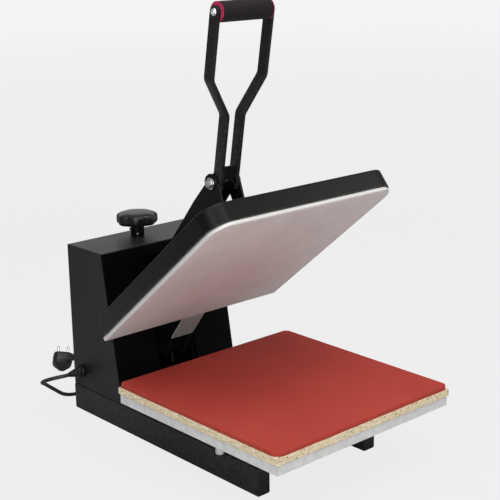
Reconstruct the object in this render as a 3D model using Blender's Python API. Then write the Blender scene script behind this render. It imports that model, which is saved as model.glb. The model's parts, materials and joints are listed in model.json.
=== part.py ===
"""A clamshell heat press with a 380 mm square work area, at its real size in metres, +Z up.

It is drawn open, with the platen raised to its stop.  Lengths below are in millimetres, measured from
the middle of the lower work surface on the floor: X to the right, Y to the rear, Z up.  The group
"press" moves that layout so that the origin lies under the middle of the whole machine, and MM turns
millimetres into metres.  Pieces that move are grouped under an empty on their joint's axis.
"""
from math import atan2, cos, hypot, pi, radians, sin

import bmesh
import bpy
from mathutils import Vector

MM = 0.001
GAP = 0.3                       # between pieces that touch
SIDES = (("left", -1), ("right", 1))

# Work area and base
WORK = 380.0                    # the heated square
BOARD = 384.0                   # chipboard under the pad
TRAY_BOTTOM, TRAY_TOP = 92.0, 108.0
BOARD_TOP = 120.0
PAD_TOP = 128.0
PAD_HALF, PAD_CORNER = 191.0, 12.0
SHEET = 1.5                     # folded sheet metal
LEG_OUT, LEG_WIDE, LEG_HIGH = 133.0, 26.0, 48.0
LEG_FRONT, LEG_REAR = -84.0, 415.0
LEG_WALL = 2.0
CAP_FACE = 1.7
CROSSBARS = {"front_crossbar": -70.0, "rear_crossbar": 95.0}
CROSSBAR_DEEP = 40.0
STUD_X, STUD_Y = 181.0, -53.0

# Housing behind the work area; its front leans back
HOUSE_HALF = 132.0
HOUSE_TOP = 312.0
HOUSE_FRONT_LOW, HOUSE_FRONT_TOP = 269.0, 313.0
RECESS_HALF = 45.0
RECESS_TOP = 296.0
COLUMN_IN, COLUMN_OUT = 38.0, 44.0
STEM_HOLE_R = 9.5
REAR_FOOT = 5.0                 # lower edge of the rear cover
VENTS_X = (-100, 100)
VENT_HALF, VENT_HIGH, VENT_PITCH = 14.0, 5.0, 12
VENTS_FROM, VENTS_TO = 220, 281
FUSE = (-15.0, 90.0)            # x, z on the rear cover
FUSE_HOLE_R = 6.5
SWITCH = (-70.0, 90.0)
SWITCH_TILT = 9.0               # degrees each way
SWITCH_HOLE = (10.5, 14.5)      # half width and half height

# Controller, on the front panel drawn upright
PANEL_X, PANEL_MID_Z = 88.5, 225.0
PANEL_HOLE = 31.0
BEZEL_HALF, BEZEL_STAND = 34.5, 7.0
WINDOW_HALF, WINDOW_LOW, WINDOW_HIGH = 26.0, -4.0, 28.0
BUTTONS_X = {"set_button": -17.0, "down_button": 0.0, "up_button": 17.0}
BUTTON_Z = PANEL_MID_Z - 18.0
BUTTON_TRAVEL = 0.8

# Linkage, as (y, z) with the platen open
OPEN_ANGLE = 39.6
HINGE = (296.0, 117.0)          # platen hinge
KNEE = (140.0, 446.0)           # bolt between the handle lever and the toggle
LINK_SLOPE = (0.646, -0.763)    # from the knee to the lever's pivot
LINK_LONG = 238.0
TOGGLE_SLOPE = (-0.38, -0.925)  # from the knee to the toggle's foot
TOGGLE_LONG = 82.0
GUIDE = (338.0, 252.0)          # guide pin of the pressure carriage
CARRIAGE_TRAVEL = 1.5           # each way, one turn of the pressure screw
HANDLE_LEAN = 10.0
GRIP = (82.0, 727.0)

SHAFT_R = 6.0
PIN_R = 5.0
FOOT_PIN_R = 4.0
LINK_IN, LINK_OUT = 8.0, 13.5
BAR_IN, BAR_OUT, BAR_WIDE = 14.0, 20.0, 20.0
BAR_TOP_IN = 53.5               # inner face of the bars at the grip
BAR_STATIONS = (-296.0, -168.0, -107.0, 10.0)   # foot, two bends and top, along the bars from the grip
GRIP_R, GRIP_HALF = 16.5, 53.2
TOGGLE_IN, TOGGLE_OUT = 20.5, 25.5
BRACKET_IN, BRACKET_OUT = 27.0, 32.0
ARM_IN, ARM_OUT = 18.0, 24.0
CHEEK_IN, CHEEK_OUT = 14.5, 20.5

# Upper platen, as it lies when closed
PLATE_BOTTOM = 128.8
PLATE_THICK = 7.0
PLATE_HALF = 192.5
PLATE_REAR, PLATE_FRONT = 193.5, -193.0
PLATE_CHAMFER = 34.0
COVER_HALF = 195.0
COVER_REAR, COVER_FRONT = 182.0, -195.0
COVER_BOTTOM, COVER_TOP = 136.1, 167.8
COVER_CORNER = 36.0
STRAP_TOP = COVER_TOP + GAP + 5.0
ARM_PLATE = 3.0
SLOT_BACK, SLOT_AHEAD, SLOT_DOWN, SLOT_UP = 9.6, 12.2, 9.2, 7.6

# Pressure knob
KNOB_Y = 383.0
KNOB_R = 38.0
KNOB_LOBES = 7
KNOB_SECTION = [
    # height, radius, depth of the scallops
    (HOUSE_TOP + GAP, 12.5, 0.0), (331.0, 12.5, 0.0), (332.2, 32.0, 1.6), (334.0, 36.6, 3.2),
    (337.0, KNOB_R, 3.8), (345.5, KNOB_R, 3.8), (350.0, 35.0, 2.0), (353.0, 27.0, 0.6), (354.6, 12.0, 0.0),
]

# Springs that lift the platen
SPRING_X = 31.0
SPRING_R = 4.2
SPRING_WIRE = 1.4
SPRING_TURNS = 8
TAIL_CLOSED = (332.0, 130.0)
ANCHOR = (332.0, 60.0)

# Mains lead
CORD_R = 3.5
GLAND = (388.0, 79.0)           # y, z on the left side
COIL_CENTRE = (118.0, 560.0)
COIL_R = 38.5
PLUG_FACE = (-36.5, 603.5, 28.0)      # the plug rests on its tail, with its face up and back
PLUG_HEADING = (0.470, 0.529, 0.707)
PLUG_SECTIONS = [
    # distance behind the face, half width, half height
    (0.0, 17.0, 15.5), (1.5, 18.5, 17.0), (19.0, 19.0, 17.5), (25.0, 15.0, 13.5), (34.0, 5.5, 5.5),
]
FLOOR = 0.1

BACK_FACE = LEG_REAR
MIDDLE_Y = (KNOB_Y + KNOB_R - BOARD / 2) / 2
LEAN = atan2(HOUSE_FRONT_TOP - HOUSE_FRONT_LOW, HOUSE_TOP - LEG_HIGH)


def along(start, slope, length):
    """The point a given distance from start in a direction in the Y-Z plane."""
    size = hypot(*slope)
    return (start[0] + slope[0] / size * length, start[1] + slope[1] / size * length)


def closed_to_open(point):
    """Where a point of the closed platen, as (y, z), lies with the platen open."""
    a = radians(OPEN_ANGLE)
    y, z = point[0] - HINGE[0], point[1] - HINGE[1]
    return (HINGE[0] + y * cos(a) + z * sin(a), HINGE[1] - y * sin(a) + z * cos(a))


def open_to_closed(point):
    """Where a point of the open platen, as (y, z), lies with the platen closed."""
    a = radians(OPEN_ANGLE)
    y, z = point[0] - HINGE[0], point[1] - HINGE[1]
    return (HINGE[0] + y * cos(a) - z * sin(a), HINGE[1] + y * sin(a) + z * cos(a))


LEVER_PIVOT = along(KNEE, LINK_SLOPE, LINK_LONG)
TOGGLE_FOOT = along(KNEE, TOGGLE_SLOPE, TOGGLE_LONG)
TOGGLE_FOOT_CLOSED = open_to_closed(TOGGLE_FOOT)


# Materials

MATERIALS = {
    # name: (colour, roughness, metallic)
    "black_powder_coat": ((0.016, 0.016, 0.018, 1), 0.45, 0.0),
    "galvanised_steel": ((0.55, 0.56, 0.56, 1), 0.38, 1.0),
    "zinc_steel": ((0.62, 0.62, 0.60, 1), 0.28, 1.0),
    "cast_aluminium": ((0.55, 0.53, 0.51, 1), 0.42, 1.0),
    "spring_steel": ((0.35, 0.35, 0.36, 1), 0.3, 1.0),
    "chipboard": ((0.62, 0.48, 0.30, 1), 0.85, 0.0),
    "silicone_red": ((0.40, 0.060, 0.045, 1), 0.6, 0.0),
    "mineral_wool": ((0.70, 0.66, 0.52, 1), 0.95, 0.0),
    "foam_black": ((0.018, 0.015, 0.016, 1), 0.9, 0.0),
    "black_plastic": ((0.012, 0.012, 0.013, 1), 0.4, 0.0),
    "grey_plastic": ((0.30, 0.31, 0.32, 1), 0.5, 0.0),
    "smoked_window": ((0.03, 0.008, 0.008, 1), 0.12, 0.0),
    "cord_rubber": ((0.014, 0.014, 0.015, 1), 0.55, 0.0),
}


def material(name):
    """The Principled material of that name, made the first time it is asked for."""
    found = bpy.data.materials.get(name)
    if found:
        return found
    colour, roughness, metallic = MATERIALS[name]
    made = bpy.data.materials.new(name)
    made.use_nodes = True
    shader = made.node_tree.nodes["Principled BSDF"]
    shader.inputs["Base Color"].default_value = colour
    shader.inputs["Roughness"].default_value = roughness
    shader.inputs["Metallic"].default_value = metallic
    made.diffuse_color = colour
    return made


# Groups and objects

def group(name, origin=(0, 0, 0), turn=0.0, parent=None):
    """An empty on a joint's axis, at a layout point, turned about X."""
    empty = bpy.data.objects.new(name, None)
    bpy.context.scene.collection.objects.link(empty)
    base = parent["origin"] if parent else Vector((0, MIDDLE_Y, 0))
    empty.location = (Vector(origin) - base) * MM
    empty.rotation_euler.x = turn
    if parent:
        empty.parent = parent["empty"]
    return {"empty": empty, "origin": Vector(origin)}


def add(name, bm, look, where, cutters=()):
    """Make a named object from a mesh in layout millimetres, under its group's empty."""
    bmesh.ops.translate(bm, vec=-where["origin"], verts=bm.verts)
    bmesh.ops.scale(bm, vec=(MM, MM, MM), verts=bm.verts)
    bmesh.ops.recalc_face_normals(bm, faces=bm.faces)
    mesh = bpy.data.meshes.new(name)
    bm.to_mesh(mesh)
    bm.free()
    mesh.shade_smooth()
    mesh.set_sharp_from_angle(angle=radians(35))
    piece = bpy.data.objects.new(name, mesh)
    piece.data.materials.append(material(look))
    piece.parent = where["empty"]
    bpy.context.scene.collection.objects.link(piece)
    for number, tool in enumerate(cutters):
        cutter = add(f"{name}_cutter_{number}", tool, look, where)
        cutter.hide_render = True
        cutter.display_type = "WIRE"
        cut = piece.modifiers.new(f"cut_{number}", "BOOLEAN")
        cut.operation = "DIFFERENCE"
        cut.solver = "EXACT"
        cut.object = cutter
    return piece


# Shapes, all in layout millimetres

def circle(centre, radius, segments=16, start=0.0):
    """Points of a circle in a plane."""
    steps = [start + 2 * pi * k / segments for k in range(segments)]
    return [(centre[0] + radius * cos(t), centre[1] + radius * sin(t)) for t in steps]


def rounded(low, high, radius, segments=3):
    """Points of a rectangle with rounded corners."""
    points = []
    for corner in range(4):
        cx = high[0] - radius if corner in (0, 3) else low[0] + radius
        cy = high[1] - radius if corner in (0, 1) else low[1] + radius
        for k in range(segments + 1):
            t = pi / 2 * (corner + k / segments)
            point = (cx + radius * cos(t), cy + radius * sin(t))
            if not any(hypot(point[0] - old[0], point[1] - old[1]) < 1e-6 for old in points):
                points.append(point)
    return points


def rectangle(low, high):
    """Points of a plain rectangle."""
    return [(low[0], low[1]), (high[0], low[1]), (high[0], high[1]), (low[0], high[1])]


def bar_with_round_ends(a, b, radius_a, radius_b, segments=6):
    """Outline of a flat link: a round end at each point, joined by straight sides."""
    heading = atan2(b[1] - a[1], b[0] - a[0])
    points = []
    for centre, radius, start in ((b, radius_b, -pi / 2), (a, radius_a, pi / 2)):
        for k in range(segments + 1):
            t = heading + start + pi * k / segments
            points.append((centre[0] + radius * cos(t), centre[1] + radius * sin(t)))
    return points


def plate(outline, low, high, axis="X", holes=()):
    """A flat piece: an outline with holes, drawn in the plane across an axis, and its thickness."""
    place = {
        "X": lambda a, b: (low, a, b),
        "Y": lambda a, b: (a, low, b),
        "Z": lambda a, b: (a, b, low),
    }[axis]
    bm = bmesh.new()
    edges = []
    for loop in (outline, *holes):
        verts = [bm.verts.new(place(a, b)) for a, b in loop]
        for k, vert in enumerate(verts):
            edges.append(bm.edges.new((vert, verts[(k + 1) % len(verts)])))
    bmesh.ops.triangle_fill(bm, edges=edges, use_beauty=True)
    step = {"X": (high - low, 0, 0), "Y": (0, high - low, 0), "Z": (0, 0, high - low)}[axis]
    grown = bmesh.ops.extrude_face_region(bm, geom=bm.faces[:])
    moved = [item for item in grown["geom"] if isinstance(item, bmesh.types.BMVert)]
    bmesh.ops.translate(bm, vec=step, verts=moved)
    return bm


def block(x, y, z):
    """A plain box from three (low, high) pairs."""
    return plate(rectangle((x[0], y[0]), (x[1], y[1])), z[0], z[1], "Z")


def turned(profile, centre, axis="Z", segments=16, hollow=False):
    """A turned piece: (radius, height) points about an axis through centre; radius 0 closes an end."""
    spin = {
        "X": lambda r, t, h: (h, centre[1] + r * cos(t), centre[2] + r * sin(t)),
        "Y": lambda r, t, h: (centre[0] + r * cos(t), h, centre[2] + r * sin(t)),
        "Z": lambda r, t, h: (centre[0] + r * cos(t), centre[1] + r * sin(t), h),
    }[axis]
    bm = bmesh.new()
    rings = []
    for radius, height in profile:
        count = segments if radius > 0 else 1
        rings.append([bm.verts.new(spin(radius, 2 * pi * k / segments, height)) for k in range(count)])
    pairs = list(zip(rings, rings[1:]))
    if hollow:
        pairs.append((rings[-1], rings[0]))
    for lower, upper in pairs:
        join_rings(bm, lower, upper)
    return bm


def join_rings(bm, lower, upper):
    """Faces between two rings of vertices; a ring of one vertex is a point."""
    count = max(len(lower), len(upper))
    for k in range(count):
        n = (k + 1) % count
        if len(lower) == 1:
            bm.faces.new((lower[0], upper[n], upper[k]))
        elif len(upper) == 1:
            bm.faces.new((lower[k], lower[n], upper[0]))
        else:
            bm.faces.new((lower[k], lower[n], upper[n], upper[k]))


def rod(centre, radius, low, high, axis="X", segments=16, chamfer=0.6):
    """A plain pin with a small chamfer at each end."""
    profile = [(0, low), (radius - chamfer, low), (radius, low + chamfer),
               (radius, high - chamfer), (radius - chamfer, high), (0, high)]
    return turned(profile, centre, axis, segments)


def tube(centre, inner, outer, low, high, axis="X", segments=16):
    """A plain tube."""
    profile = [(inner, low), (outer, low), (outer, high), (inner, high)]
    return turned(profile, centre, axis, segments, hollow=True)


def lofted(rings):
    """A closed piece through outlines of equal length, flat at both ends."""
    bm = bmesh.new()
    loops = [[bm.verts.new(point) for point in ring] for ring in rings]
    for lower, upper in zip(loops, loops[1:]):
        join_rings(bm, lower, upper)
    bm.faces.new(loops[0])
    bm.faces.new(list(reversed(loops[-1])))
    return bm


def at_x(x, point):
    """A layout point from an x and a (y, z) pair."""
    return (x, point[0], point[1])


# Base

def build_base(base):
    """Legs, crossbars and the rear beam that everything stands on."""
    for side, sign in SIDES:
        inner, outer = sorted((sign * LEG_OUT, sign * (LEG_OUT - LEG_WIDE)))
        hollow = (inner + LEG_WALL, LEG_WALL), (outer - LEG_WALL, LEG_HIGH - LEG_WALL)
        tube_face = LEG_FRONT + CAP_FACE + GAP
        leg = plate(rounded((inner, 0), (outer, LEG_HIGH), 3.0), tube_face, LEG_REAR, "Y",
                    [rectangle(*hollow)])
        add(f"{side}_leg", leg, "black_powder_coat", base)
        rings = []
        for y, inset in ((LEG_FRONT, 1.0), (LEG_FRONT + 1, 0.0), (LEG_FRONT + CAP_FACE, 0.0),
                         (LEG_FRONT + CAP_FACE, LEG_WALL + GAP), (LEG_FRONT + 12, LEG_WALL + 1.0)):
            outline = rounded((inner + inset, inset), (outer - inset, LEG_HIGH - inset),
                              max(3.0 - inset, 1.0))
            rings.append([(a, y, b) for a, b in outline])
        add(f"{side}_leg_cap", lofted(rings), "black_plastic", base)
    rail_top = TRAY_TOP - SHEET - GAP
    for name, y in CROSSBARS.items():
        section = (y, LEG_HIGH + GAP), (y + CROSSBAR_DEEP, rail_top)
        hole = (y + 2, LEG_HIGH + GAP + 2), (y + CROSSBAR_DEEP - 2, rail_top - 2)
        bar = plate(rounded(*section, 3.0), -LEG_OUT, LEG_OUT, "X", [rectangle(*hole)])
        add(name, bar, "black_powder_coat", base)
    reach = LEG_OUT - LEG_WIDE - GAP
    beam = plate(rounded((262, 6), (345, LEG_HIGH - GAP), 3.0), -reach, reach, "X",
                 [rectangle((265, 9), (342, LEG_HIGH - GAP - 3))])
    add("rear_beam", beam, "black_powder_coat", base)


def build_bed(base):
    """The lower work surface: folded tray, chipboard and silicone pad."""
    half = WORK / 2
    rings = []
    for z, inset in ((TRAY_BOTTOM, SHEET), (TRAY_TOP - SHEET, SHEET)):
        rings.append([(a, b, z) for a, b in rectangle((-half + inset, -half + inset),
                                                      (half - inset, half - inset))])
    outside = [[(a, b, z) for a, b in rectangle((-half, -half), (half, half))]
               for z in (TRAY_BOTTOM, TRAY_TOP)]
    bm = bmesh.new()
    inner_low, inner_top = ([bm.verts.new(p) for p in ring] for ring in rings)
    outer_low, outer_top = ([bm.verts.new(p) for p in ring] for ring in outside)
    join_rings(bm, inner_top, inner_low)
    join_rings(bm, inner_low, outer_low)
    join_rings(bm, outer_low, outer_top)
    bm.faces.new(inner_top)
    bm.faces.new(outer_top)
    add("bed_tray", bm, "galvanised_steel", base)
    board = BOARD / 2
    add("base_board", block((-board, board), (-board, board), (TRAY_TOP + GAP, BOARD_TOP)),
        "chipboard", base)
    rings = []
    for z, inset in ((BOARD_TOP + GAP, 1.5), (BOARD_TOP + GAP + 1.5, 0), (PAD_TOP - 1.5, 0),
                     (PAD_TOP, 1.5)):
        reach = PAD_HALF - inset
        outline = rounded((-reach, -reach), (reach, reach), PAD_CORNER, 4)
        rings.append([(a, b, z) for a, b in outline])
    add("silicone_pad", lofted(rings), "silicone_red", base)
    head = TRAY_BOTTOM - GAP
    for side, sign in SIDES:
        profile = [(0, 80), (6.4, 80), (7, 80.6), (7, head), (4, head), (4, TRAY_TOP - SHEET - GAP),
                   (0, TRAY_TOP - SHEET - GAP)]
        stud = turned(profile, (sign * STUD_X, STUD_Y, 0), "Z", 16)
        add(f"{side}_tray_stud", stud, "zinc_steel", base)


def front_y(z):
    """The housing's front face at a height."""
    return HOUSE_FRONT_LOW + (z - LEG_HIGH) / (HOUSE_TOP - LEG_HIGH) * (
        HOUSE_FRONT_TOP - HOUSE_FRONT_LOW)


def build_columns(base):
    """The plates that carry the hinge, with their shafts."""
    low, top = LEG_HIGH + GAP, 290.0
    outline = [(front_y(low) + 3, low), (345, low), (356, top), (front_y(top) + 3, top)]
    guide_low = (GUIDE[0], GUIDE[1] - CARRIAGE_TRAVEL - GAP)
    guide_high = (GUIDE[0], GUIDE[1] + CARRIAGE_TRAVEL + GAP)
    slot = bar_with_round_ends(guide_low, guide_high, PIN_R + GAP, PIN_R + GAP)
    holes = [circle(HINGE, SHAFT_R + GAP), slot, circle(ANCHOR, 4 + GAP)]
    for side, sign in SIDES:
        span = sorted((sign * COLUMN_IN, sign * COLUMN_OUT))
        add(f"{side}_column", plate(outline, *span, "X", holes), "black_powder_coat", base)
    end = COLUMN_OUT - 0.5
    add("hinge_shaft", rod(at_x(0, HINGE), SHAFT_R, -end, end), "zinc_steel", base)
    add("spring_anchor_pin", rod(at_x(0, ANCHOR), 4, -end, end, segments=12), "zinc_steel", base)


def build_housing(base):
    """Folded shell, front panel with its recess, and the rear cover."""
    low = LEG_HIGH + GAP
    outer = [(HOUSE_HALF, low), (HOUSE_HALF, HOUSE_TOP - 2), (HOUSE_HALF - 0.6, HOUSE_TOP - 0.6),
             (HOUSE_HALF - 2, HOUSE_TOP)]
    inner = [(HOUSE_HALF - SHEET, low), (HOUSE_HALF - SHEET, HOUSE_TOP - SHEET)]
    outline = outer + [(-x, z) for x, z in reversed(outer)]
    outline += [(-x, z) for x, z in inner] + list(reversed(inner))
    shell = plate(outline, HOUSE_FRONT_LOW - 20, BACK_FACE, "Y")
    cut = bmesh.ops.bisect_plane(
        shell, geom=shell.verts[:] + shell.edges[:] + shell.faces[:],
        plane_co=(0, HOUSE_FRONT_LOW, LEG_HIGH), plane_no=(0, -cos(LEAN), sin(LEAN)), clear_outer=True)
    rim = [item for item in cut["geom_cut"] if isinstance(item, bmesh.types.BMEdge)]
    bmesh.ops.triangle_fill(shell, edges=rim, use_beauty=True)
    stem = rod((0, KNOB_Y, 0), STEM_HOLE_R, HOUSE_TOP - 10, HOUSE_TOP + 10, "Z")
    gland = rod(at_x(0, GLAND), 7.8, -HOUSE_HALF - 10, -HOUSE_HALF + 10, "X")
    add("housing_shell", shell, "black_powder_coat", base, [stem, gland])

    inside = HOUSE_HALF - SHEET - GAP
    slots = [rectangle((x - VENT_HALF, z), (x + VENT_HALF, z + VENT_HIGH))
             for x in VENTS_X for z in range(VENTS_FROM, VENTS_TO, VENT_PITCH)]
    slots.append(circle(FUSE, FUSE_HOLE_R, 12))
    wide, tall = SWITCH_HOLE
    slots.append(rectangle((SWITCH[0] - wide, SWITCH[1] - tall), (SWITCH[0] + wide, SWITCH[1] + tall)))
    # the cover reaches down between the legs
    foot, high = LEG_OUT - LEG_WIDE - 2 * GAP, HOUSE_TOP - SHEET - GAP
    outline = [(-foot, REAR_FOOT), (foot, REAR_FOOT), (foot, low), (inside, low), (inside, high),
               (-inside, high), (-inside, low), (-foot, low)]
    rear = plate(outline, BACK_FACE - SHEET, BACK_FACE, "Y", slots)
    add("rear_cover", rear, "black_powder_coat", base)


def build_front(face):
    """The leaning front panel and the temperature controller in it.

    Drawn upright, with its outer face at the face group's origin, and leaned back by that group.
    """
    y = face["origin"].y
    low = LEG_HIGH + GAP + 0.5
    high = LEG_HIGH + (HOUSE_TOP - SHEET - GAP - LEG_HIGH) / cos(LEAN)
    edge = HOUSE_HALF - SHEET - GAP
    outline = [(-edge, low), (-RECESS_HALF, low), (-RECESS_HALF, RECESS_TOP), (RECESS_HALF, RECESS_TOP),
               (RECESS_HALF, low), (edge, low), (edge, high), (-edge, high)]
    hole = rectangle((PANEL_X - PANEL_HOLE, PANEL_MID_Z - PANEL_HOLE),
                     (PANEL_X + PANEL_HOLE, PANEL_MID_Z + PANEL_HOLE))
    add("front_panel", plate(outline, y + 0.2, y + 0.2 + SHEET, "Y", [hole]), "black_powder_coat", face)

    rings = []
    body = PANEL_HOLE - 0.5
    for depth, half in ((-BEZEL_STAND, BEZEL_HALF - 1.5), (1 - BEZEL_STAND, BEZEL_HALF), (-0.2, BEZEL_HALF),
                        (-0.2, body), (48, body)):
        outline = rounded((PANEL_X - half, PANEL_MID_Z - half), (PANEL_X + half, PANEL_MID_Z + half), 2.5, 2)
        rings.append([(a, y + depth, b) for a, b in outline])
    tools = [block((PANEL_X - WINDOW_HALF, PANEL_X + WINDOW_HALF), (y - 10, y - 4.5),
                   (PANEL_MID_Z + WINDOW_LOW, PANEL_MID_Z + WINDOW_HIGH))]
    for x in BUTTONS_X.values():
        tools.append(rod((PANEL_X + x, 0, BUTTON_Z), 5.0, y - 10, y - 2.5, "Y", 16))
    add("controller_case", lofted(rings), "black_plastic", face, tools)
    window = block((PANEL_X - WINDOW_HALF + GAP, PANEL_X + WINDOW_HALF - GAP), (y - 6.4, y - 4.8),
                   (PANEL_MID_Z + WINDOW_LOW + GAP, PANEL_MID_Z + WINDOW_HIGH - GAP))
    add("controller_display", window, "smoked_window", face)


def build_buttons(face):
    """Three keys under the display, which travel into the controller."""
    y = face["origin"].y
    for name, x in BUTTONS_X.items():
        home = group(f"{name}_axis", (PANEL_X + x, y - BEZEL_STAND, BUTTON_Z), parent=face)
        rear = y - 2.5 - GAP - BUTTON_TRAVEL
        profile = [(0, y - 8.2), (3.6, y - 8.2), (4.4, y - 7.4), (4.4, rear), (0, rear)]
        key = turned(profile, (PANEL_X + x, 0, BUTTON_Z), "Y", 12)
        add(name, key, "grey_plastic", home)


def build_electrics(base):
    """Relay, terminals, fuse holder and mains switch."""
    low = LEG_HIGH + GAP
    shelf_y = 360.0
    rings = []
    for z, inset in ((low, 0), (low + 4, 0), (low + 4, 2), (low + 26, 2), (low + 28, 4)):
        outline = rectangle((62 + inset, shelf_y - 12 + inset), (122 - inset, shelf_y + 33 - inset))
        rings.append([(a, b, z) for a, b in outline])
    add("solid_state_relay", lofted(rings), "black_plastic", base)
    steps = [(-48 - 12 * k, low + 16 if k % 2 else low + 22) for k in range(6)]
    outline = [(-48, low)]
    for x, z in steps:
        outline += [(x, z), (x - 12, z)]
    outline.append((-48 - 72, low))
    block_y = shelf_y - 10
    add("terminal_block", plate(outline, block_y, block_y + 22, "Y"), "grey_plastic", base)
    profile = [(0, BACK_FACE - 28), (6.2, BACK_FACE - 28), (6.2, BACK_FACE + GAP), (8.5, BACK_FACE + GAP),
               (8.5, BACK_FACE + 3), (5.5, BACK_FACE + 5), (0, BACK_FACE + 5)]
    add("fuse_holder", turned(profile, (FUSE[0], 0, FUSE[1]), "Y", 12), "black_plastic", base)

    x, z = SWITCH
    rings = []
    sections = ((BACK_FACE - 16, 9.8, 13.8), (BACK_FACE + GAP, 9.8, 13.8), (BACK_FACE + GAP, 12, 16),
                (BACK_FACE + 1.8, 12, 16), (BACK_FACE + 2.5, 11.4, 15.4))
    for y, wide, tall in sections:
        rings.append([(a, y, b) for a, b in rectangle((x - wide, z - tall), (x + wide, z + tall))])
    well = block((x - 7.5, x + 7.5), (BACK_FACE - 12, BACK_FACE + 10), (z - 12, z + 12))
    add("switch_bezel", lofted(rings), "black_plastic", base, [well])
    y = BACK_FACE - 2.0
    home = group("switch_axis", (x, y, z), radians(SWITCH_TILT), base)
    outline = [(y - 4, z - 4), (y + 3.2, z - 11.2), (y + 4.0, z - 11.2), (y + 2.2, z),
               (y + 4.0, z + 11.2), (y + 3.2, z + 11.2), (y - 4, z + 4)]
    add("power_rocker", plate(outline, x - 7.0, x + 7.0, "X"), "black_plastic", home)


# Upper platen, drawn closed

def build_platen(platen):
    """Heating plate, insulation and the deep cover over them."""
    c = PLATE_CHAMFER

    def plate_outline(inset):
        half = PLATE_HALF - inset
        front, rear = PLATE_FRONT + inset, PLATE_REAR - inset
        return [(-half, rear), (half, rear), (half, front + c), (half - c, front),
                (-half + c, front), (-half, front + c)]

    rings = []
    for z, inset in ((PLATE_BOTTOM, 1.2), (PLATE_BOTTOM + 1.2, 0), (PLATE_BOTTOM + PLATE_THICK, 0)):
        rings.append([(a, b, z) for a, b in plate_outline(inset)])
    add("heating_plate", lofted(rings), "cast_aluminium", platen)

    def cover_outline(inset, segments=5):
        half, radius = COVER_HALF - inset, COVER_CORNER - inset
        rear, front = COVER_REAR - inset, COVER_FRONT + inset
        points = [(half, rear), (-half, rear)]
        for cx, start in ((-half + radius, pi), (half - radius, 1.5 * pi)):
            for k in range(segments + 1):
                t = start + pi / 2 * k / segments
                points.append((cx + radius * cos(t), front + radius + radius * sin(t)))
        return points

    bm = bmesh.new()
    levels = ((COVER_BOTTOM, 0), (COVER_TOP - 1.5, 0), (COVER_TOP, 1.5))
    outer = [[bm.verts.new((a, b, z)) for a, b in cover_outline(inset)] for z, inset in levels]
    inner = [[bm.verts.new((a, b, z)) for a, b in cover_outline(SHEET)]
             for z in (COVER_BOTTOM, COVER_TOP - SHEET)]
    join_rings(bm, outer[0], outer[1])
    join_rings(bm, outer[1], outer[2])
    join_rings(bm, inner[0], outer[0])
    join_rings(bm, inner[1], inner[0])
    bm.faces.new(outer[2])
    bm.faces.new(inner[1])
    add("platen_cover", bm, "black_powder_coat", platen)
    wool = SHEET + 2.0
    rings = [[(a, b, z) for a, b in cover_outline(wool, 2)] for z in (COVER_BOTTOM + GAP, 160.0)]
    add("insulation_blanket", lofted(rings), "mineral_wool", platen)


def build_arm(platen):
    """The arm that carries the platen: strap, bare underside plate, hinge barrel and toggle bracket."""
    strap_low = COVER_TOP + GAP
    behind_cover, behind_plate = COVER_REAR + 3, PLATE_REAR + 0.4
    h, tail = HINGE, TAIL_CLOSED
    # bare plate under the arm, from the heating plate's rear edge almost to the barrel
    lip, heel = (behind_plate, 129.0), (251.2, 116.5)
    slope = (heel[0] - lip[0], heel[1] - lip[1])
    up = (-slope[1] / hypot(*slope), slope[0] / hypot(*slope))
    corners = []
    for point, lift in ((lip, 0), (heel, 0), (heel, ARM_PLATE), (lip, ARM_PLATE)):
        corners.append((point[0] + up[0] * lift, point[1] + up[1] * lift))
    add("arm_plate", plate(corners, -ARM_OUT, ARM_OUT, "X"), "cast_aluminium", platen)

    # side view of the arm: strap over the cover, down behind it, and back to the hinge
    lift = ARM_PLATE + GAP
    outline = [(-70, strap_low), (behind_cover, strap_low), (behind_cover, 140), (behind_plate + 0.3, 138),
               (lip[0] + up[0] * lift + 0.3, lip[1] + up[1] * lift), (heel[0] + 1, heel[1] + up[1] * lift),
               (264, 112), (h[0] - 14, h[1] - 14), (h[0] - 4, h[1] - 18), (h[0] + 8, h[1] - 16),
               (tail[0] + 7, tail[1] - 9), (tail[0] + 9, tail[1] + 4), (tail[0] + 2, tail[1] + 10),
               (h[0] + 10, h[1] + 30), (240, 205), (200, 213), (120, 205), (60, STRAP_TOP),
               (-70, STRAP_TOP)]
    holes = [circle(h, 11.5 + GAP), circle(tail, FOOT_PIN_R + GAP, 12)]
    above = block((-ARM_IN, ARM_IN), (0, behind_cover - 8), (STRAP_TOP, 260))
    behind = block((-ARM_IN, ARM_IN), (behind_cover - 9, 400), (60, 260))
    arm = plate(outline, -ARM_OUT, ARM_OUT, "X", holes)
    add("platen_arm", arm, "black_powder_coat", platen, [above, behind])
    barrel = tube(at_x(0, h), SHAFT_R + GAP, 11.5, -29, 29)
    add("hinge_barrel", barrel, "zinc_steel", platen)
    add("spring_tail_pin", rod(at_x(0, tail), FOOT_PIN_R, -36, 36, segments=12), "zinc_steel", platen)

    foot = TOGGLE_FOOT_CLOSED
    base_top = STRAP_TOP + GAP + 3
    wall = [(foot[0] - 34, STRAP_TOP + GAP), (foot[0] + 34, STRAP_TOP + GAP), (foot[0] + 24, foot[1] + 13),
            (foot[0] - 24, foot[1] + 13)]
    tool = block((-BRACKET_IN, BRACKET_IN), (foot[0] - 60, foot[0] + 60), (base_top, 260))
    # the pin slides in this slot, which also takes up the difference from a true four-bar motion
    low = (foot[0] - SLOT_BACK, foot[1] - SLOT_DOWN)
    high = (foot[0] + SLOT_AHEAD, foot[1] + SLOT_UP)
    slot = plate(rounded(low, high, 5.0, 3), -60, 60, "X")
    bracket = plate(wall, -BRACKET_OUT, BRACKET_OUT, "X")
    add("toggle_bracket", bracket, "black_powder_coat", platen, [tool, slot])


# Handle lever, drawn open about its pivot

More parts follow.
